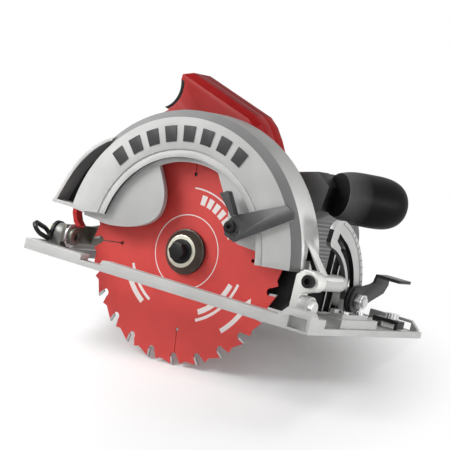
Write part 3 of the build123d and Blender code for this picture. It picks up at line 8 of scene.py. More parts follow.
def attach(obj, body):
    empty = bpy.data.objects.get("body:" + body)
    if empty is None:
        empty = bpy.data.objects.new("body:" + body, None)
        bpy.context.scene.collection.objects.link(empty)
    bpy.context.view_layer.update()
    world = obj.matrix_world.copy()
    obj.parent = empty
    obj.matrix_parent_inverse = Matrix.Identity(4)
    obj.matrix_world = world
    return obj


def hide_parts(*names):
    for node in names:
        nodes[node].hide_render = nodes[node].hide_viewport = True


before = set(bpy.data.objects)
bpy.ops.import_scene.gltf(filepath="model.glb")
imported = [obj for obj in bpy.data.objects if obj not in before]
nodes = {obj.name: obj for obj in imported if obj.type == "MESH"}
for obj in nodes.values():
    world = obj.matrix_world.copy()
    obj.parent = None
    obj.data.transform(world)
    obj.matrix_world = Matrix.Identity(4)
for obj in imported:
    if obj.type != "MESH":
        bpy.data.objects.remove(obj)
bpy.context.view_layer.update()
scene = bpy.context.scene
scene.view_settings.view_transform = "Standard"
blade_plane, spindle_height = -80.0, 30.775  # mm, of the spindle in the part's frame

# Viewpoint: a long lens before the blade's side, rolled as the saw leans on the bench.
# Its place and lens were solved from the round outline of the blade.
view_azimuth, view_elevation, view_roll = radians(31.42), radians(4.50), radians(13.23)
viewpoint = bpy.data.objects.new("viewpoint", bpy.data.cameras.new("viewpoint"))
viewpoint.data.lens = 185.83
viewpoint.data.sensor_width = 36.0
viewpoint.data.clip_end = 20.0
viewpoint.matrix_world = (Matrix.Translation((0.9956, -1.6617, 0.2061)) @ Matrix.Rotation(view_azimuth, 4, "Z")
                          @ Matrix.Rotation(pi / 2 - view_elevation, 4, "X") @ Matrix.Rotation(view_roll, 4, "Z"))
scene.collection.objects.link(viewpoint)
scene.camera = viewpoint

# Bench: a white sheet under the leaning saw, which touches it with the blade and a corner of the shoe.
# It is matt, so the shadow stays, and it is clear from below, so that it hides no side of the saw.
bench_up = Vector((-0.0530, -0.3282, 0.9431)).normalized()
bench_drop = -0.0318
bench_radius = 1.6
bm = bmesh.new()
bmesh.ops.create_circle(bm, cap_ends=True, segments=96, radius=bench_radius)
bench_turn = Vector((0, 0, 1)).rotation_difference(bench_up).to_matrix().to_4x4()
bm.transform(Matrix.Translation(bench_up * bench_drop) @ bench_turn)
bench = bpy.data.objects.new("bench", bpy.data.meshes.new("bench"))
bm.to_mesh(bench.data)
bm.free()
scene.collection.objects.link(bench)
bench_white = bpy.data.materials.new("bench_white")
bench_white.use_nodes = True
tree = bench_white.node_tree
tree.nodes.clear()
sheet_out = tree.nodes.new("ShaderNodeOutputMaterial")
matt = tree.nodes.new("ShaderNodeBsdfDiffuse")
matt.inputs["Color"].default_value = (0.93, 0.93, 0.93, 1)
glow = tree.nodes.new("ShaderNodeEmission")
glow.inputs["Strength"].default_value = 0.06
lit = tree.nodes.new("ShaderNodeAddShader")
far = tree.nodes.new("ShaderNodeEmission")
ground = tree.nodes.new("ShaderNodeTexCoord")
offset = tree.nodes.new("ShaderNodeVectorMath")
offset.operation = "DISTANCE"
offset.inputs[1].default_value = (0.03, -0.09, -0.03)
fade = tree.nodes.new("ShaderNodeMapRange")
fade.interpolation_type = "SMOOTHSTEP"
fade.inputs["From Min"].default_value = 0.10
fade.inputs["From Max"].default_value = 0.23
paper = tree.nodes.new("ShaderNodeMixShader")
seen = tree.nodes.new("ShaderNodeLightPath")
straight = tree.nodes.new("ShaderNodeMath")
straight.operation = "MAXIMUM"
mirrored = tree.nodes.new("ShaderNodeMath")
mirrored.operation = "MAXIMUM"
shown = tree.nodes.new("ShaderNodeMixShader")
clear = tree.nodes.new("ShaderNodeBsdfTransparent")
side = tree.nodes.new("ShaderNodeNewGeometry")
faced = tree.nodes.new("ShaderNodeMixShader")
tree.links.new(matt.outputs[0], lit.inputs[0])
tree.links.new(glow.outputs[0], lit.inputs[1])
tree.links.new(seen.outputs["Is Camera Ray"], straight.inputs[0])
tree.links.new(seen.outputs["Is Transmission Ray"], straight.inputs[1])
tree.links.new(straight.outputs[0], mirrored.inputs[0])
tree.links.new(seen.outputs["Is Glossy Ray"], mirrored.inputs[1])
tree.links.new(mirrored.outputs[0], shown.inputs[0])
tree.links.new(matt.outputs[0], shown.inputs[1])
tree.links.new(ground.outputs["Object"], offset.inputs[0])
tree.links.new(offset.outputs["Value"], fade.inputs["Value"])
tree.links.new(fade.outputs["Result"], paper.inputs[0])
tree.links.new(lit.outputs[0], paper.inputs[1])
tree.links.new(far.outputs[0], paper.inputs[2])
tree.links.new(paper.outputs[0], shown.inputs[2])
tree.links.new(side.outputs["Backfacing"], faced.inputs[0])
tree.links.new(shown.outputs[0], faced.inputs[1])
tree.links.new(clear.outputs[0], faced.inputs[2])
tree.links.new(faced.outputs[0], sheet_out.inputs["Surface"])
bench.data.materials.append(bench_white)

# Light: a pale dome, a near lamp on the left of the lens, two at the right and above, and a weak one before it.
# The lens and mirror rays see the dome as plain white.
studio = bpy.data.worlds.new("studio")
scene.world = studio
studio.use_nodes = True
tree = studio.node_tree
tree.nodes.clear()
dome_out = tree.nodes.new("ShaderNodeOutputWorld")
dome = tree.nodes.new("ShaderNodeBackground")
dome.inputs["Color"].default_value = (1, 1, 1, 1)
dome.inputs["Strength"].default_value = 0.27
white = tree.nodes.new("ShaderNodeBackground")
white.inputs["Color"].default_value = (1, 1, 1, 1)
rays = tree.nodes.new("ShaderNodeLightPath")
through = tree.nodes.new("ShaderNodeMath")
through.operation = "MAXIMUM"
gleam = tree.nodes.new("ShaderNodeMath")
gleam.operation = "MAXIMUM"
choice = tree.nodes.new("ShaderNodeMixShader")
tree.links.new(rays.outputs["Is Camera Ray"], through.inputs[0])
tree.links.new(rays.outputs["Is Transmission Ray"], through.inputs[1])
tree.links.new(through.outputs[0], gleam.inputs[0])
tree.links.new(rays.outputs["Is Glossy Ray"], gleam.inputs[1])
tree.links.new(gleam.outputs[0], choice.inputs[0])
tree.links.new(dome.outputs[0], choice.inputs[1])
tree.links.new(white.outputs[0], choice.inputs[2])
tree.links.new(choice.outputs[0], dome_out.inputs["Surface"])
lamp_aim = Vector((0, -0.05, 0.04))
for lamp_name, spot, size, power in (("lamp_left", (-0.44, -0.38, 0.32), 0.32, 3.7),
                                     ("lamp_right", (1.40, 0.05, 0.15), 0.50, 15.0),
                                     ("lamp_above", (0.00, 0.35, 1.30), 0.35, 2.6),
                                     ("lamp_front", (0.60, -1.10, 0.10), 0.50, 1.8)):
    lamp = bpy.data.objects.new(lamp_name, bpy.data.lights.new(lamp_name, "AREA"))
    lamp.data.size = size
    lamp.data.energy = power
    lamp.location = spot
    lamp.rotation_euler = (lamp_aim - Vector(spot)).to_track_quat("-Z", "Y").to_euler()
    scene.collection.objects.link(lamp)


# Shoe: one pressure casting in pale magnesium alloy, blasted to a fine even grain.
# Its bars and rims are trimmed after casting, so the edges are slightly rounded and rubbed bright.
def rubbed_edges(nt, colour_socket, worn, shine, reach=0.0007):
    """The colour with the edges of the piece rubbed towards a worn colour."""
    corner = nt.nodes.new("ShaderNodeBevel")
    corner.samples = 3
    corner.inputs["Radius"].default_value = reach
    level = nt.nodes.new("ShaderNodeNewGeometry")
    agree = nt.nodes.new("ShaderNodeVectorMath")
    agree.operation = "DOT_PRODUCT"
    nt.links.new(corner.outputs["Normal"], agree.inputs[0])
    nt.links.new(level.outputs["Normal"], agree.inputs[1])
    rubbed = nt.nodes.new("ShaderNodeMapRange")
    rubbed.inputs["From Min"].default_value = 0.99
    rubbed.inputs["From Max"].default_value = 0.86
    rubbed.inputs["To Max"].default_value = shine
    nt.links.new(agree.outputs["Value"], rubbed.inputs["Value"])
    mix = nt.nodes.new("ShaderNodeMix")
    mix.data_type = "RGBA"
    mix.inputs["B"].default_value = (*worn, 1)
    nt.links.new(rubbed.outputs["Result"], mix.inputs["Factor"])
    nt.links.new(colour_socket, mix.inputs["A"])
    return mix.outputs["Result"]


def noise(nt, scale, detail, stretch=(1, 1, 1)):
    """Noise on the piece's own coordinates, drawn out along one way where the finish has a lay."""
    place = nt.nodes.new("ShaderNodeTexCoord")
    lay = nt.nodes.new("ShaderNodeMapping")
    lay.inputs["Scale"].default_value = stretch
    texture = nt.nodes.new("ShaderNodeTexNoise")
    texture.inputs["Scale"].default_value = scale
    texture.inputs["Detail"].default_value = detail
    nt.links.new(place.outputs["Object"], lay.inputs["Vector"])
    nt.links.new(lay.outputs["Vector"], texture.inputs["Vector"])
    return texture.outputs["Fac"]


def tinted(nt, fac, colour, spread):
    """The colour, a little darker and lighter by turns."""
    ramp = nt.nodes.new("ShaderNodeValToRGB")
    for stop, place, change in zip(ramp.color_ramp.elements, (0.32, 0.68), (1 - spread, 1 + spread)):
        stop.position = place
        stop.color = (*[min(1.0, c * change) for c in colour], 1)
    nt.links.new(fac, ramp.inputs["Fac"])
    return ramp.outputs["Color"]


def grained(nt, shader, height, depth, distance=0.0003):
    """A fine relief on the surface."""
    relief = nt.nodes.new("ShaderNodeBump")
    relief.inputs["Strength"].default_value = depth
    relief.inputs["Distance"].default_value = distance
    nt.links.new(height, relief.inputs["Height"])
    nt.links.new(relief.outputs["Normal"], shader.inputs["Normal"])


def patchy(nt, shader, fac, roughness, spread=0.09):
    """A roughness that varies with the patches of the surface."""
    span = nt.nodes.new("ShaderNodeMapRange")
    span.inputs["To Min"].default_value = roughness - spread
    span.inputs["To Max"].default_value = roughness + spread
    nt.links.new(fac, span.inputs["Value"])
    nt.links.new(span.outputs["Result"], shader.inputs["Roughness"])


def shade_by_height(nt, body, low, low_tone, high, high_tone):
    """The colour scaled with height, a painted light and shade for how the lamps fall: two heights above the spindle
    in m, with their tones.
    """
    place = nt.nodes.new("ShaderNodeTexCoord")
    parts = nt.nodes.new("ShaderNodeSeparateXYZ")
    height_shade = nt.nodes.new("ShaderNodeMapRange")
    height_shade.inputs["From Min"].default_value = low + spindle_height / 1000
    height_shade.inputs["From Max"].default_value = high + spindle_height / 1000
    height_shade.inputs["To Min"].default_value = low_tone
    height_shade.inputs["To Max"].default_value = high_tone
    toned = nt.nodes.new("ShaderNodeVectorMath")
    toned.operation = "SCALE"
    nt.links.new(place.outputs["Object"], parts.inputs["Vector"])
    nt.links.new(parts.outputs["Z"], height_shade.inputs["Value"])
    nt.links.new(body, toned.inputs[0])
    nt.links.new(height_shade.outputs["Result"], toned.inputs["Scale"])
    return toned.outputs["Vector"]


def cast_metal(name, colour, roughness=0.46, metallic=0.30, shine=0.35, gloss=0.4, height_shade=None):
    """Blasted casting: a fine grain, faint flow clouds and edges rubbed brighter."""
    mat = bpy.data.materials.new(name)
    mat.use_nodes = True
    nt = mat.node_tree
    shader = nt.nodes["Principled BSDF"]
    shader.inputs["Metallic"].default_value = metallic
    shader.inputs["Specular IOR Level"].default_value = gloss
    clouds = noise(nt, 32.0, 5.0)
    body = tinted(nt, clouds, colour, 0.06)
    # Where given, a painted light and shade that changes with height.
    if height_shade:
        body = shade_by_height(nt, body, *height_shade)
    edge = rubbed_edges(nt, body, [min(1.0, c * 1.4 + 0.05) for c in colour], shine)
    nt.links.new(edge, shader.inputs["Base Color"])
    patchy(nt, shader, clouds, roughness)
    grained(nt, shader, noise(nt, 1100.0, 3.0), 0.12)
    return mat


def finish(finish_material, *names):
    """A finish for solids whose shape is right as it is."""
    for name in names:
        mesh = nodes[name].data
        mesh.materials.clear()
        mesh.materials.append(finish_material)


def broken(node, body, finish_material, edge, others=(), pockets=()):
    """A copy of a solid with its sharp edges broken; others are pairs of a finish and a test of a face's place."""
    mesh = nodes[node].data.copy()
    bm = bmesh.new()
    bm.from_mesh(mesh)
    bmesh.ops.remove_doubles(bm, verts=bm.verts, dist=2e-6)
    bmesh.ops.dissolve_limit(bm, angle_limit=radians(0.4), verts=bm.verts, edges=bm.edges)
    for face in bm.faces:
        face.smooth = True
        face.material_index = 0
    bm.to_mesh(mesh)
    bm.free()
    mesh.materials.clear()
    mesh.materials.append(finish_material)
    draft = bpy.data.objects.new(node + "_draft", mesh)
    scene.collection.objects.link(draft)
    for pocket in pockets:
        sunk = draft.modifiers.new(pocket.name, "BOOLEAN")
        sunk.operation = "DIFFERENCE"
        sunk.solver = "EXACT"
        sunk.object = pocket
    cut = draft.modifiers.new("broken_edges", "BEVEL")
    cut.width = edge
    cut.segments = 2
    cut.limit_method = "ANGLE"
    cut.angle_limit = radians(32)
    cut.use_clamp_overlap = True
    cut.harden_normals = True
    done = bpy.data.meshes.new_from_object(draft.evaluated_get(bpy.context.evaluated_depsgraph_get()))
    for leftover in (draft, *pockets):
        bpy.data.objects.remove(leftover)
    for index, (other, test) in enumerate(others, 1):
        done.materials.append(other)
        for face in done.polygons:
            spot = face.center * 1000 - Vector((0, blade_plane, spindle_height))
            if test(spot, face.normal):
                face.material_index = index
    piece = bpy.data.objects.new(node + "_finished", done)
    scene.collection.objects.link(piece)
    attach(piece, body)
    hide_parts(node)
    return piece


def on_rear_ear(spot, normal):
    return spot.x < -104.0 and spot.y < 8.0 and spot.z > -21.6


shoe_alloy = cast_metal("shoe_alloy", (0.49, 0.49, 0.48), roughness=0.5, metallic=0.12, gloss=0.3)
# The rear ear is painted dark grey as painted shade.
ear_shade_alloy = cast_metal("ear_shade_alloy", (0.20, 0.20, 0.19), roughness=0.4)
broken("base_plate", "shoe", shoe_alloy, edge=0.0006, others=[(ear_shade_alloy, on_rear_ear)])


# Bevel pins: turned steel pins, one fixed in each ear of the shoe; the front one is bright, the rear one dulled.
# The nuts, washers and screws elsewhere on the saw are stock hardware with a bright zinc plating.
def steel(name, colour, roughness=0.28, metallic=0.85, lay=(1, 1, 1), shine=0.40):
    """Turned or rolled steel: fine streaks along the lay of the tool and bright edges."""
    mat = bpy.data.materials.new(name)
    mat.use_nodes = True
    nt = mat.node_tree
    shader = nt.nodes["Principled BSDF"]
    shader.inputs["Metallic"].default_value = metallic
    streaks = noise(nt, 900.0, 3.0, lay)
    body = tinted(nt, noise(nt, 120.0, 4.0), colour, 0.10)
    edge = rubbed_edges(nt, body, [min(1.0, c * 1.4 + 0.06) for c in colour], shine, 0.0005)
    nt.links.new(edge, shader.inputs["Base Color"])
    patchy(nt, shader, streaks, roughness)
    grained(nt, shader, streaks, 0.08, 0.0002)
    return mat


zinc = steel("zinc", (0.56, 0.56, 0.56))
dull_steel = steel("dull_steel", (0.16, 0.155, 0.13), roughness=0.36, metallic=0.7, lay=(8, 1, 1))
pin_steel = steel("pin_steel", (0.62, 0.62, 0.60), roughness=0.34, lay=(8, 1, 1))
broken("front_bevel_pin", "shoe", pin_steel, edge=0.0006)
broken("rear_bevel_bolt", "shoe", dull_steel, edge=0.0005)
broken("rear_bevel_washer", "shoe", zinc, edge=0.0003)
finish(dull_steel, "rear_lock_nut")


# Rear clamp lever: a hub with a bent loop for a finger, cut from steel plate and oiled black.
# The oxide is thin, so it shows a grey sheen at grazing light.
def oxide(name, colour, roughness=0.40, gloss=0.22, worn=0.05):
    """Blackened or enamelled steel: a smooth dark skin with faint mottling, thin at the edges."""
    mat = bpy.data.materials.new(name)
    mat.use_nodes = True
    nt = mat.node_tree
    shader = nt.nodes["Principled BSDF"]
    shader.inputs["Specular IOR Level"].default_value = gloss
    mottle = noise(nt, 240.0, 4.0)
    body = tinted(nt, mottle, colour, 0.07)
    edge = rubbed_edges(nt, body, [c + worn for c in colour], 0.55, 0.0005)
    nt.links.new(edge, shader.inputs["Base Color"])
    patchy(nt, shader, mottle, roughness, 0.07)
    grained(nt, shader, noise(nt, 1300.0, 2.0), 0.08)
    return mat


black_oxide = oxide("black_oxide", (0.007, 0.007, 0.007))
broken("rear_lock_lever", "rear_lock_lever", black_oxide, edge=0.0007)

# Bevel quadrant: a casting with a raised rim and a slot for the lock bolt, screwed to a pad on the shoe.
# Its slot and its side walls are painted black and near black as painted shade, and the rim carries short engraved
# marks.
# Black painted into the slot, the web between the ribs and the arm's pocket, standing for the shade in these hollows.
recess_shade_black = oxide("recess_shade_black", (0.008, 0.008, 0.008), roughness=0.6, gloss=0.12, worn=0.0)
quadrant_alloy = cast_metal("quadrant_alloy", (0.45, 0.45, 0.445))
# A near-black painted on the quadrant's side walls as painted shade.
quadrant_side_shade = cast_metal("quadrant_side_shade", (0.055, 0.055, 0.056), roughness=0.5, metallic=0.1, shine=0.1)


def quadrant_reach(spot):
    return hypot(spot.y + 14.0, spot.z + 13.0)


def in_slot(spot, normal):
    within = 52.6 < quadrant_reach(spot) < 63.4 and spot.z > -9.0 and spot.x < 131.2
    return within and (abs(normal.x) < 0.6 or spot.x > 128.0)


def on_quadrant_side(spot, normal):
    return abs(normal.x) < 0.4 and spot.x < 131.0 and not 52.6 < quadrant_reach(spot) < 72.0 and spot.z > -4.0


broken("bevel_quadrant", "shoe", quadrant_alloy, edge=0.0006,
       others=[(recess_shade_black, in_slot), (quadrant_side_shade, on_quadrant_side)])
finish(zinc, "quadrant_screws")


def arc_row(name, body, row_material, radius, start, sweep, count, block, place):
    """A row of like blocks on an arc about Z, made with Geometry Nodes and set in its place as a plain mesh."""
    row = bpy.data.node_groups.new(name, "GeometryNodeTree")
    row.interface.new_socket("Geometry", in_out="OUTPUT", socket_type="NodeSocketGeometry")
    sizes = (("Radius", "NodeSocketFloat", radius), ("Start", "NodeSocketFloat", radians(start)),
             ("Sweep", "NodeSocketFloat", radians(sweep)), ("Count", "NodeSocketInt", count),
             ("Block", "NodeSocketVector", block))
    labels = [row.interface.new_socket(label, in_out="INPUT", socket_type=kind) for label, kind, value in sizes]
    given = row.nodes.new("NodeGroupInput")
    arc = row.nodes.new("GeometryNodeCurveArc")
    points = row.nodes.new("GeometryNodeCurveToPoints")
    points.mode = "EVALUATED"
    where = row.nodes.new("GeometryNodeInputPosition")
    turned_out = row.nodes.new("FunctionNodeAlignRotationToVector")
    turned_out.axis = "X"
    turned_out.pivot_axis = "Z"
    solid = row.nodes.new("GeometryNodeMeshCube")
    laid = row.nodes.new("GeometryNodeInstanceOnPoints")
    real = row.nodes.new("GeometryNodeRealizeInstances")
    painted = row.nodes.new("GeometryNodeSetMaterial")
    painted.inputs["Material"].default_value = row_material
    result = row.nodes.new("NodeGroupOutput")
    row.links.new(given.outputs["Radius"], arc.inputs["Radius"])
    row.links.new(given.outputs["Start"], arc.inputs["Start Angle"])
    row.links.new(given.outputs["Sweep"], arc.inputs["Sweep Angle"])
    row.links.new(given.outputs["Count"], arc.inputs["Resolution"])
    row.links.new(arc.outputs["Curve"], points.inputs["Curve"])
    row.links.new(where.outputs["Position"], turned_out.inputs["Vector"])
    row.links.new(given.outputs["Block"], solid.inputs["Size"])
    row.links.new(points.outputs["Points"], laid.inputs["Points"])
    row.links.new(solid.outputs["Mesh"], laid.inputs["Instance"])
    row.links.new(turned_out.outputs["Rotation"], laid.inputs["Rotation"])
    row.links.new(laid.outputs["Instances"], real.inputs["Geometry"])
    row.links.new(real.outputs["Geometry"], painted.inputs["Geometry"])
    row.links.new(painted.outputs["Geometry"], result.inputs["Geometry"])
    draft = bpy.data.objects.new(name + "_draft", bpy.data.meshes.new(name + "_draft"))
    scene.collection.objects.link(draft)
    laying = draft.modifiers.new(name, "NODES")
    laying.node_group = row
    for label, (_, _, value) in zip(labels, sizes):
        laying[label.identifier] = value
    done = bpy.data.meshes.new_from_object(draft.evaluated_get(bpy.context.evaluated_depsgraph_get()))
    draft.modifiers.remove(laying)
    bpy.data.objects.remove(draft)
    done.transform(place)
    piece = bpy.data.objects.new(name, done)
    scene.collection.objects.link(piece)
    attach(piece, body)


mark_black = oxide("mark_black", (0.010, 0.010, 0.010), roughness=0.6)
face_forward = Matrix(((0, 0, 1), (1, 0, 0), (0, 1, 0))).to_4x4()
bevel_axis = Matrix.Translation((0.13244, -0.094, 0.017775)) @ face_forward
arc_row("bevel_marks", "shoe", mark_black, radius=0.0720, start=9.6, sweep=50.0, count=11,
        block=(0.0024, 0.0007, 0.0003), place=bevel_axis)

# Fence clamp: a folded strap over the way of a fence bar, in steel with a black finish.
# It is fixed to the shoe, and a plated thumb screw turns in it.
broken("fence_clamp", "shoe", oxide("strap_grey", (0.030, 0.030, 0.031)), edge=0.0004)
finish(zinc, "fence_screw")

# Tilt bracket: a pale casting with the knuckle of the depth pivot, a ribbed web and the lock bolt's boss.
# Its web between the ribs is painted black as painted shade, and the pivot's socket bolt is blackened.
bracket_alloy = cast_metal("bracket_alloy", (0.74, 0.74, 0.71), roughness=0.42, shine=0.2)
web_alloy = cast_metal("web_alloy", (0.50, 0.50, 0.49))


def on_ribs(spot, normal):
    return spot.y > 20.0


# The web between the ribs and the sides of the ribs are painted black as painted shade.
def in_web(spot, normal):
    return spot.y > 20.0 and (spot.x < 120.6 or abs(normal.x) < 0.4 and spot.x < 121.2)


broken("front_tilt_bracket", "tilt_frame", bracket_alloy, edge=0.0006,
       others=[(web_alloy, on_ribs), (recess_shade_black, in_web)])
finish(black_oxide, "depth_pivot_bolt")

# Bevel lock: a plated bolt through the quadrant's slot, with a black disc and a nut.
# Its lever is bent from plate and enamelled black; the guard's lever below has the greyer enamel.
lever_grey = oxide("lever_grey", (0.062, 0.062, 0.064), roughness=0.42, gloss=0.26, worn=0.12)
broken("bevel_lock_disc", "tilt_frame", black_oxide, edge=0.0005)
lever_black = oxide("lever_black", (0.020, 0.020, 0.021), roughness=0.40, gloss=0.24, worn=0.05)
broken("bevel_lock_lever", "bevel_lock_lever", lever_black, edge=0.0006)
broken("bevel_lock_nut", "tilt_frame", zinc, edge=0.0004)
finish(zinc, "bevel_lock_bolt")

# Depth stay: a slotted arc of dull dark steel behind the guard, fixed to the tilt bracket's frame.
# A blackened lever on a plated bolt in the gear housing clamps it.
broken("depth_bracket", "tilt_frame", dull_steel, edge=0.0004)
broken("depth_lock_lever", "depth_lock_lever", black_oxide, edge=0.0006)
finish(zinc, "depth_lock_bolt")

# Upper guard: the large casting over the blade, with a flat ring, a sloping rim, a chip chute and the pivot arm.
# The ring is polished flat; the slope is painted a darker grey as painted shade, and on the slope and the rim the tone
# changes with height as painted light and shade. The inside of the guard, the chute and the ring's inner wall are
# painted black, and the chute's side wall dark grey, as painted shade.
# A pocket in the arm and the ring's rear end are cut here, the pocket painted black as painted shade; plain bars and a
# red buffer are fixed to the casting.
guard_alloy = cast_metal("guard_alloy", (0.52, 0.52, 0.51), roughness=0.60, metallic=0.04, gloss=0.16)
# Black painted inside the guard, in the chute and on the ring's inner wall as painted shade.
hollow_shade = oxide("hollow_shade", (0.030, 0.030, 0.030), roughness=0.6, gloss=0.12, worn=0.0)
# Dark grey painted on the chute's side wall as painted shade.
chute_wall_shade = cast_metal("chute_wall_shade", (0.20, 0.20, 0.20), roughness=0.6, metallic=0.05, shine=0.0, gloss=0.15)
# The slope's darker grey is painted shade, and its tone changes with height as painted light and shade.
slope_shade_alloy = cast_metal("slope_shade_alloy", (0.29, 0.29, 0.29), roughness=0.52, metallic=0.1, shine=0.15, gloss=0.25,
                         height_shade=(0.020, 0.50, 0.100, 0.85))
# The rim's tone changes with height, brighter low down, as painted light and shade.
rim_shade_alloy = cast_metal("rim_shade_alloy", (0.52, 0.52, 0.51), roughness=0.5, metallic=0.1, gloss=0.3,
                       height_shade=(0.045, 1.55, 0.100, 0.55))


def round_spindle(spot, normal):
    """A face's distance from the spindle's axis in mm, and how far it looks away from it."""
    reach = hypot(spot.x, spot.z)
    return reach, (normal.x * spot.x + normal.z * spot.z) / max(reach, 1.0)


def on_slope(spot, normal):
    reach, outward = round_spindle(spot, normal)
    return 107.0 < reach < 114.4 and spot.y < -12.0 and outward > 0.2 and normal.y < -0.3


def on_rim(spot, normal):
    reach, outward = round_spindle(spot, normal)
    return reach > 112.5 and outward > 0.7 and abs(normal.y) < 0.4 and spot.x > -75.0 and spot.z > 10.0


def in_shaded_hollow(spot, normal):
    reach = hypot(spot.x, spot.z)
    if reach < 76.0 and abs(normal.y) < 0.6 and spot.y < -15.0:
        return True
    if not -16.3 < spot.y < 12.8:
        return False
    if spot.x > -70.0:
        return reach < 111.2 and spot.x < 104.0 and spot.y > -16.0
    return normal.y < -0.5 and spot.y > 5.0 or reach < 111.2


def on_chute_wall(spot, normal):
    reach, outward = round_spindle(spot, normal)
    return spot.x < -70.0 and reach > 111.2 and -3.7 < spot.y < 12.8 and outward < -0.3


def prism(name, outline, outer, inner):
    """A core for a pocket: its outline in mm forward and up from the spindle, and its ends along the spindle."""
    bm = bmesh.new()
    ends = [[bm.verts.new(Vector((x, y + blade_plane, z + spindle_height)) / 1000) for x, z in outline]
            for y in (outer, inner)]
    for end in ends:
        bm.faces.new(end)
    for place in range(len(outline)):
        bm.faces.new((ends[0][place - 1], ends[0][place], ends[1][place], ends[1][place - 1]))
    bmesh.ops.recalc_face_normals(bm, faces=bm.faces)
    core = bpy.data.objects.new(name, bpy.data.meshes.new(name))
    bm.to_mesh(core.data)
    bm.free()
    scene.collection.objects.link(core)
    return core


# The arm's pocket is painted black as painted shade.
def in_arm_pocket(spot, normal):
    hidden_by_arm = 113.0 < spot.x < 127.0 - 0.76 * (spot.z - 14.0)
    return hidden_by_arm and 13.8 < spot.z < 31.8 and -7.8 < spot.y < -1.8


arm_pocket = prism("arm_pocket", ((113.2, 31.5), (126.5, 14.0), (114.0, 14.0)), -12.0, -2.0)
ring_end = prism("ring_end", ((-68.0, 13.4), (-95.0, 10.4), (-95.0, 1.0), (-68.0, 1.0)), -22.0, -14.0)
broken("upper_guard", "saw_body", guard_alloy, edge=0.0008,
       others=[(slope_shade_alloy, on_slope), (rim_shade_alloy, on_rim), (hollow_shade, in_shaded_hollow), (chute_wall_shade, on_chute_wall),
               (recess_shade_black, in_arm_pocket)], pockets=[arm_pocket, ring_end])
red_rubber = oxide("red_rubber", (0.42, 0.018, 0.018), roughness=0.5)
buffer_outline = ((-109.4, 20.0), (-110.3, 14.0), (-109.8, 6.0), (-106.4, -1.4), (-101.6, -5.2), (-99.6, -2.6),
                  (-103.2, 0.6), (-105.8, 6.0), (-106.2, 14.0), (-105.6, 20.0))
buffer = prism("guard_buffer", buffer_outline, -12.5, -4.0)
buffer.data.materials.append(red_rubber)
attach(buffer, "saw_body")
trim_grey = oxide("trim_grey", (0.048, 0.048, 0.050), roughness=0.5, worn=0.04)
broken("guard_trim", "saw_body", trim_grey, edge=0.0002)


# Dust nozzle: a black nylon moulding below the front of the guard.
# Like the other mouldings it has the fine spark-eroded texture of its mould.
def moulded(name, colour, roughness=0.50, grain=1500.0, depth=0.16, gloss=0.25, worn=0.03):
    """Moulded plastic or rubber: a pebbled skin, slight bloom and corners polished by hands."""
    mat = bpy.data.materials.new(name)
    mat.use_nodes = True
    nt = mat.node_tree
    shader = nt.nodes["Principled BSDF"]
    shader.inputs["Specular IOR Level"].default_value = gloss
    bloom = noise(nt, 45.0, 5.0)
    body = tinted(nt, bloom, colour, 0.12)
    edge = rubbed_edges(nt, body, [min(1.0, c * 1.25 + worn) for c in colour], 0.5, 0.0010)
    nt.links.new(edge, shader.inputs["Base Color"])
    patchy(nt, shader, bloom, roughness, 0.06)
    place = nt.nodes.new("ShaderNodeTexCoord")
    pebbles = nt.nodes.new("ShaderNodeTexVoronoi")
    pebbles.inputs["Scale"].default_value = grain
    nt.links.new(place.outputs["Object"], pebbles.inputs["Vector"])
    grained(nt, shader, pebbles.outputs["Distance"], depth)
    return mat


black_nylon = moulded("black_nylon", (0.006, 0.006, 0.0065))
broken("dust_nozzle", "saw_body", black_nylon, edge=0.0006)

# Gear housing: a dark casting fixed behind the guard, with the bearing box that closes it.
# The spindle lock's button is black nylon and slides in a bore of the casting.
housing_alloy = cast_metal("housing_alloy", (0.11, 0.11, 0.11), roughness=0.5, metallic=0.1, shine=0.1, gloss=0.3)
broken("gear_housing", "saw_body", housing_alloy, edge=0.0008)
finish(housing_alloy, "bearing_box")
finish(black_nylon, "spindle_lock_button")

# Spindle and gears: ground and hobbed steel with streaks along the spindle, running in ball bearings.
# They are seen only with the housing open, so their solids stay as they are.
ground_steel = steel("ground_steel", (0.45, 0.45, 0.46), lay=(1, 8, 1))
finish(ground_steel, "spindle", "driven_gear", "pinion", "armature", "spindle_front_bearing", "spindle_rear_bearing",
       "armature_front_bearing", "armature_rear_bearing", "stator")

# Blade: a hardened plate with a slick red coat, brushed in rings, and carbide tips brazed to its teeth.
# The print on it is plain: dashed arcs, a thin ring and an arrow for the way it turns.
blade_centre = Vector((0, blade_plane, spindle_height)) / 1000
coat_red, print_white = (0.62, 0.060, 0.053), (0.80, 0.74, 0.72)
red_coat = bpy.data.materials.new("red_coat")
red_coat.use_nodes = True
tree = red_coat.node_tree
coat = tree.nodes["Principled BSDF"]
coat.inputs["Specular IOR Level"].default_value = 0.35
spot_on_blade = tree.nodes.new("ShaderNodeTexCoord")
centred = tree.nodes.new("ShaderNodeMapping")
centred.inputs["Location"].default_value = -blade_centre
axes = tree.nodes.new("ShaderNodeSeparateXYZ")
tree.links.new(spot_on_blade.outputs["Object"], centred.inputs["Vector"])
tree.links.new(centred.outputs["Vector"], axes.inputs["Vector"])


def sum_of(operation, first, second):
    """One step of arithmetic on the blade's polar coordinates."""
    step = tree.nodes.new("ShaderNodeMath")
    step.operation = operation
    for socket, value in zip(step.inputs, (first, second)):
        if isinstance(value, (int, float)):
            socket.default_value = value
        else:
            tree.links.new(value, socket)
    return step.outputs[0]


across, up = axes.outputs["X"], axes.outputs["Z"]
radius = sum_of("SQRT", sum_of("ADD", sum_of("MULTIPLY", across, across), sum_of("MULTIPLY", up, up)), 0.0)
turn = sum_of("FLOORED_MODULO", sum_of("ARCTAN2", up, across), 2 * pi)


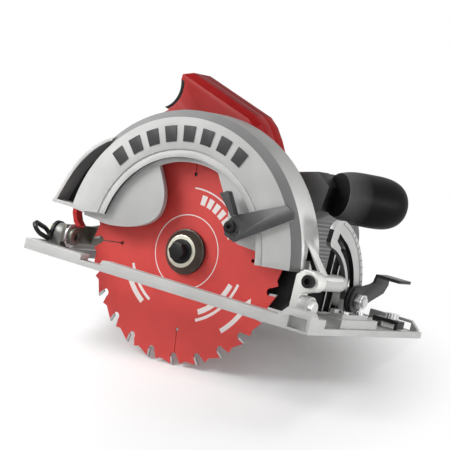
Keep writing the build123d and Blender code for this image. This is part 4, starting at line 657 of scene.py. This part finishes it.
def band(middle, half_width, start, end):
    """Mask of an arc of the print: its middle radius and half width in m, its ends in degrees."""
    near = sum_of("LESS_THAN", sum_of("ABSOLUTE", sum_of("SUBTRACT", radius, middle), 0.0), half_width)
    after = sum_of("GREATER_THAN", turn, radians(start))
    before = sum_of("LESS_THAN", turn, radians(end))
    return sum_of("MULTIPLY", near, sum_of("MULTIPLY", after, before))


dash_count, dash_level = 40.0, -0.55
dash_wave = sum_of("GREATER_THAN", sum_of("SINE", sum_of("MULTIPLY", turn, dash_count), 0.0), dash_level)
print_arcs = [band(0.0300, 0.0004, 0, 360), sum_of("MULTIPLY", band(0.0440, 0.0040, 28, 88), dash_wave),
              band(0.0520, 0.0006, 20, 96), band(0.0580, 0.0022, 208, 238), band(0.0520, 0.0012, 204, 242),
              band(0.0500, 0.0022, 298, 342), band(0.0560, 0.0012, 294, 346), band(0.0720, 0.0020, 312, 336)]
head_start, head_end, head_radius, head_half_width = radians(336), radians(343), 0.0720, 0.0046
head_left = sum_of("DIVIDE", sum_of("SUBTRACT", head_end, turn), head_end - head_start)
head_width = sum_of("MULTIPLY", head_left, head_half_width)
head_near = sum_of("LESS_THAN", sum_of("ABSOLUTE", sum_of("SUBTRACT", radius, head_radius), 0.0), head_width)
print_arcs.append(sum_of("MULTIPLY", head_near, sum_of("GREATER_THAN", turn, head_start)))
printed = print_arcs[0]
for arc in print_arcs[1:]:
    printed = sum_of("MAXIMUM", printed, arc)
rings = tree.nodes.new("ShaderNodeTexNoise")
rings.noise_dimensions = "1D"
rings.inputs["Scale"].default_value = 2600.0
rings.inputs["Detail"].default_value = 3.0
tree.links.new(radius, rings.inputs["W"])
coat_tone = tinted(tree, noise(tree, 60.0, 4.0), coat_red, 0.05)
inked = tree.nodes.new("ShaderNodeMix")
inked.data_type = "RGBA"
inked.inputs["B"].default_value = (*print_white, 1)
tree.links.new(printed, inked.inputs["Factor"])
tree.links.new(coat_tone, inked.inputs["A"])
tree.links.new(inked.outputs["Result"], coat.inputs["Base Color"])
patchy(tree, coat, rings.outputs["Fac"], 0.42, 0.10)
grained(tree, coat, rings.outputs["Fac"], 0.05, 0.0002)
finish(red_coat, "blade")
carbide = steel("carbide", (0.42, 0.42, 0.42), roughness=0.32)
finish(carbide, "carbide_tips")

# Blade clamp: two bronzed steel flanges, the outer one with its nose turned bright.
# A black hexagon bolt in the spindle's end holds them on the blade.
bronzed = steel("bronzed", (0.052, 0.040, 0.031), roughness=0.38, metallic=0.5, lay=(1, 8, 1), shine=0.3)
turned = steel("turned", (0.62, 0.60, 0.50), roughness=0.30, metallic=0.8)


def on_nose(spot, normal):
    return hypot(spot.x, spot.z) < 13.3 and normal.y < -0.5


broken("outer_flange", "blade_assembly", bronzed, edge=0.0005, others=[(turned, on_nose)])
finish(bronzed, "inner_flange")
broken("blade_bolt", "blade_assembly", black_oxide, edge=0.0004)

# Lower guard: pressed from smooth bright sheet, turning on the snout of the bearing box under a spring.
# Its lever is enamelled dark grey and screwed to a boss; its lower edge is painted pale grey as a painted highlight.
guard_sheet = cast_metal("guard_sheet", (0.50, 0.50, 0.495), roughness=0.45, metallic=0.12, gloss=0.3)
broken("lower_guard", "lower_guard", guard_sheet, edge=0.0005)
# Pale grey painted on the lever's lower edge as a painted highlight.
lever_edge_highlight = oxide("lever_edge_highlight", (0.34, 0.34, 0.34), roughness=0.36, gloss=0.5)


def on_lower_edge(spot, normal):
    return normal.z < -0.6 and abs(normal.y) < 0.5 and spot.x > 20.0


broken("guard_lever", "lower_guard", lever_grey, edge=0.0005, others=[(lever_edge_highlight, on_lower_edge)])
broken("guard_lever_screw", "lower_guard", black_oxide, edge=0.0003)
finish(ground_steel, "guard_retaining_ring", "guard_spring")

# Motor: armature, stator and brush gear, in copper, steel and black nylon.
# All of it is hidden in the housing, so the solids stay as they are.
copper = steel("copper", (0.55, 0.30, 0.14), roughness=0.35, lay=(1, 8, 1))
finish(copper, "commutator", "brush_holders")
finish(black_nylon, "cooling_fan", "carbon_brushes")

# Motor housing: a barrel in dark nylon with the front knob's bracket, closed by a cap with plated screws.
# The fins, ribs and vents are rows of blocks laid on the barrel and the cap.
housing_nylon = moulded("housing_nylon", (0.12, 0.12, 0.121), roughness=0.48, gloss=0.3)


def on_bracket_side(spot, normal):
    return normal.x > 0.5 and spot.x > 70.0 and spot.z > 55.0


broken("motor_housing", "saw_body", housing_nylon, edge=0.0008,
       others=[(black_nylon, on_bracket_side)])
broken("motor_end_cap", "saw_body", housing_nylon, edge=0.0012)
finish(black_nylon, "brush_caps")
finish(zinc, "housing_screws")
fin_grey = moulded("fin_grey", (0.30, 0.30, 0.30), roughness=0.5)
face_blade = Matrix(((1, 0, 0), (0, 0, -1), (0, 1, 0))).to_4x4()
motor_axis = (0.0158976, -0.080, 0.0562164)


def along_motor(inboard):
    return Matrix.Translation(Vector(motor_axis) + Vector((0, inboard, 0))) @ face_blade


arc_row("motor_fins", "saw_body", fin_grey, radius=0.0450, start=-20.0, sweep=46.0, count=12,
        block=(0.0012, 0.0006, 0.030), place=along_motor(0.108))
arc_row("barrel_ribs", "saw_body", housing_nylon, radius=0.0449, start=40.0, sweep=280.0, count=44,
        block=(0.0012, 0.0016, 0.056), place=along_motor(0.122))
arc_row("cap_vents", "saw_body", black_nylon, radius=0.0397, start=0.0, sweep=345.0, count=24,
        block=(0.0050, 0.0020, 0.0004), place=along_motor(0.172))

# Handle: two red nylon shells screwed together, painted darker on the slopes and the back as painted shade, with edges
# lightened partly as wear and partly as a painted highlight.
# Rubber lines the palm side, and the trigger and the cord's gland are black.
# The shells' edges are lightened partly as wear and partly as a painted highlight.
red_nylon = moulded("red_nylon", (0.33, 0.016, 0.015), roughness=0.42, gloss=0.20, worn=0.10)
# Darker reds on the slopes and the back, as painted shade.
red_slope_shade = moulded("red_slope_shade", (0.29, 0.008, 0.009), roughness=0.5, gloss=0.08, worn=0.10)
red_back_shade = moulded("red_back_shade", (0.20, 0.005, 0.006), roughness=0.5, gloss=0.06, worn=0.10)


def on_handle_slope(spot, normal):
    return 0.45 < normal.z <= 0.80


def on_handle_back(spot, normal):
    return normal.z > 0.80


for shell in ("handle_right_shell", "handle_left_shell"):
    broken(shell, "saw_body", red_nylon, edge=0.0014,
           others=[(red_slope_shade, on_handle_slope), (red_back_shade, on_handle_back)])
black_rubber = moulded("black_rubber", (0.006, 0.006, 0.006), roughness=0.62, depth=0.22, gloss=0.15)
broken("handle_grip", "saw_body", black_rubber, edge=0.0008)
broken("trigger", "trigger", black_nylon, edge=0.0008)
finish(black_nylon, "trigger_switch")
finish(black_oxide, "trigger_pin")
finish(black_rubber, "cord_gland")

# Front knob: a black bulb moulded over a core and screwed to the bracket, with faint rings round its axis.
# It is painted lighter towards its foot as a painted highlight, and has fine ridges below.
lean = radians(28.5)
knob_black = moulded("knob_black", (0.004, 0.004, 0.004), roughness=0.44, depth=0.06, gloss=0.07)
tree = knob_black.node_tree
knob_place = tree.nodes.new("ShaderNodeTexCoord")
along_knob = tree.nodes.new("ShaderNodeMapping")
along_knob.inputs["Rotation"].default_value = (0, 0, lean - pi / 2)
rings_round = tree.nodes.new("ShaderNodeTexWave")
rings_round.inputs["Scale"].default_value = 190.0
tree.links.new(knob_place.outputs["Object"], along_knob.inputs["Vector"])
tree.links.new(along_knob.outputs["Vector"], rings_round.inputs["Vector"])
knob_skin = tree.nodes["Principled BSDF"]
grained(tree, knob_skin, rings_round.outputs["Fac"], 0.22, 0.0003)
# The knob is painted lighter towards its foot as a painted highlight.
knob_reach = tree.nodes.new("ShaderNodeSeparateXYZ")
knob_foot_highlight = tree.nodes.new("ShaderNodeMapRange")
knob_foot_highlight.inputs["From Min"].default_value = 0.026
knob_foot_highlight.inputs["From Max"].default_value = 0.046
knob_foot_highlight.inputs["To Min"].default_value = 22.0
knob_foot_highlight.inputs["To Max"].default_value = 1.0
highlighted = tree.nodes.new("ShaderNodeVectorMath")
highlighted.operation = "SCALE"
tree.links.new(along_knob.outputs["Vector"], knob_reach.inputs["Vector"])
tree.links.new(knob_reach.outputs["X"], knob_foot_highlight.inputs["Value"])
tree.links.new(knob_skin.inputs["Base Color"].links[0].from_socket, highlighted.inputs[0])
tree.links.new(knob_foot_highlight.outputs["Result"], highlighted.inputs["Scale"])
tree.links.new(highlighted.outputs["Vector"], knob_skin.inputs["Base Color"])


def on_knob_foot(spot, normal):
    return normal.x * sin(lean) + normal.y * cos(lean) < -0.6


broken("aux_handle", "saw_body", knob_black, edge=0.0006, others=[(black_rubber, on_knob_foot)])
knob_frame = Matrix(((0, cos(lean), sin(lean)), (0, -sin(lean), cos(lean)), (1, 0, 0))).to_4x4()
knob_foot = Vector((90.8, 58.8 + blade_plane, 72.6 + spindle_height)) / 1000
ridge_reach = 0.027
knob_middle = knob_foot + Vector((sin(lean), cos(lean), 0)) * ridge_reach
arc_row("knob_ridges", "saw_body", knob_black, radius=0.0212, start=150.0, sweep=120.0, count=16,
        block=(0.0010, 0.0012, 0.018), place=Matrix.Translation(knob_middle) @ knob_frame)
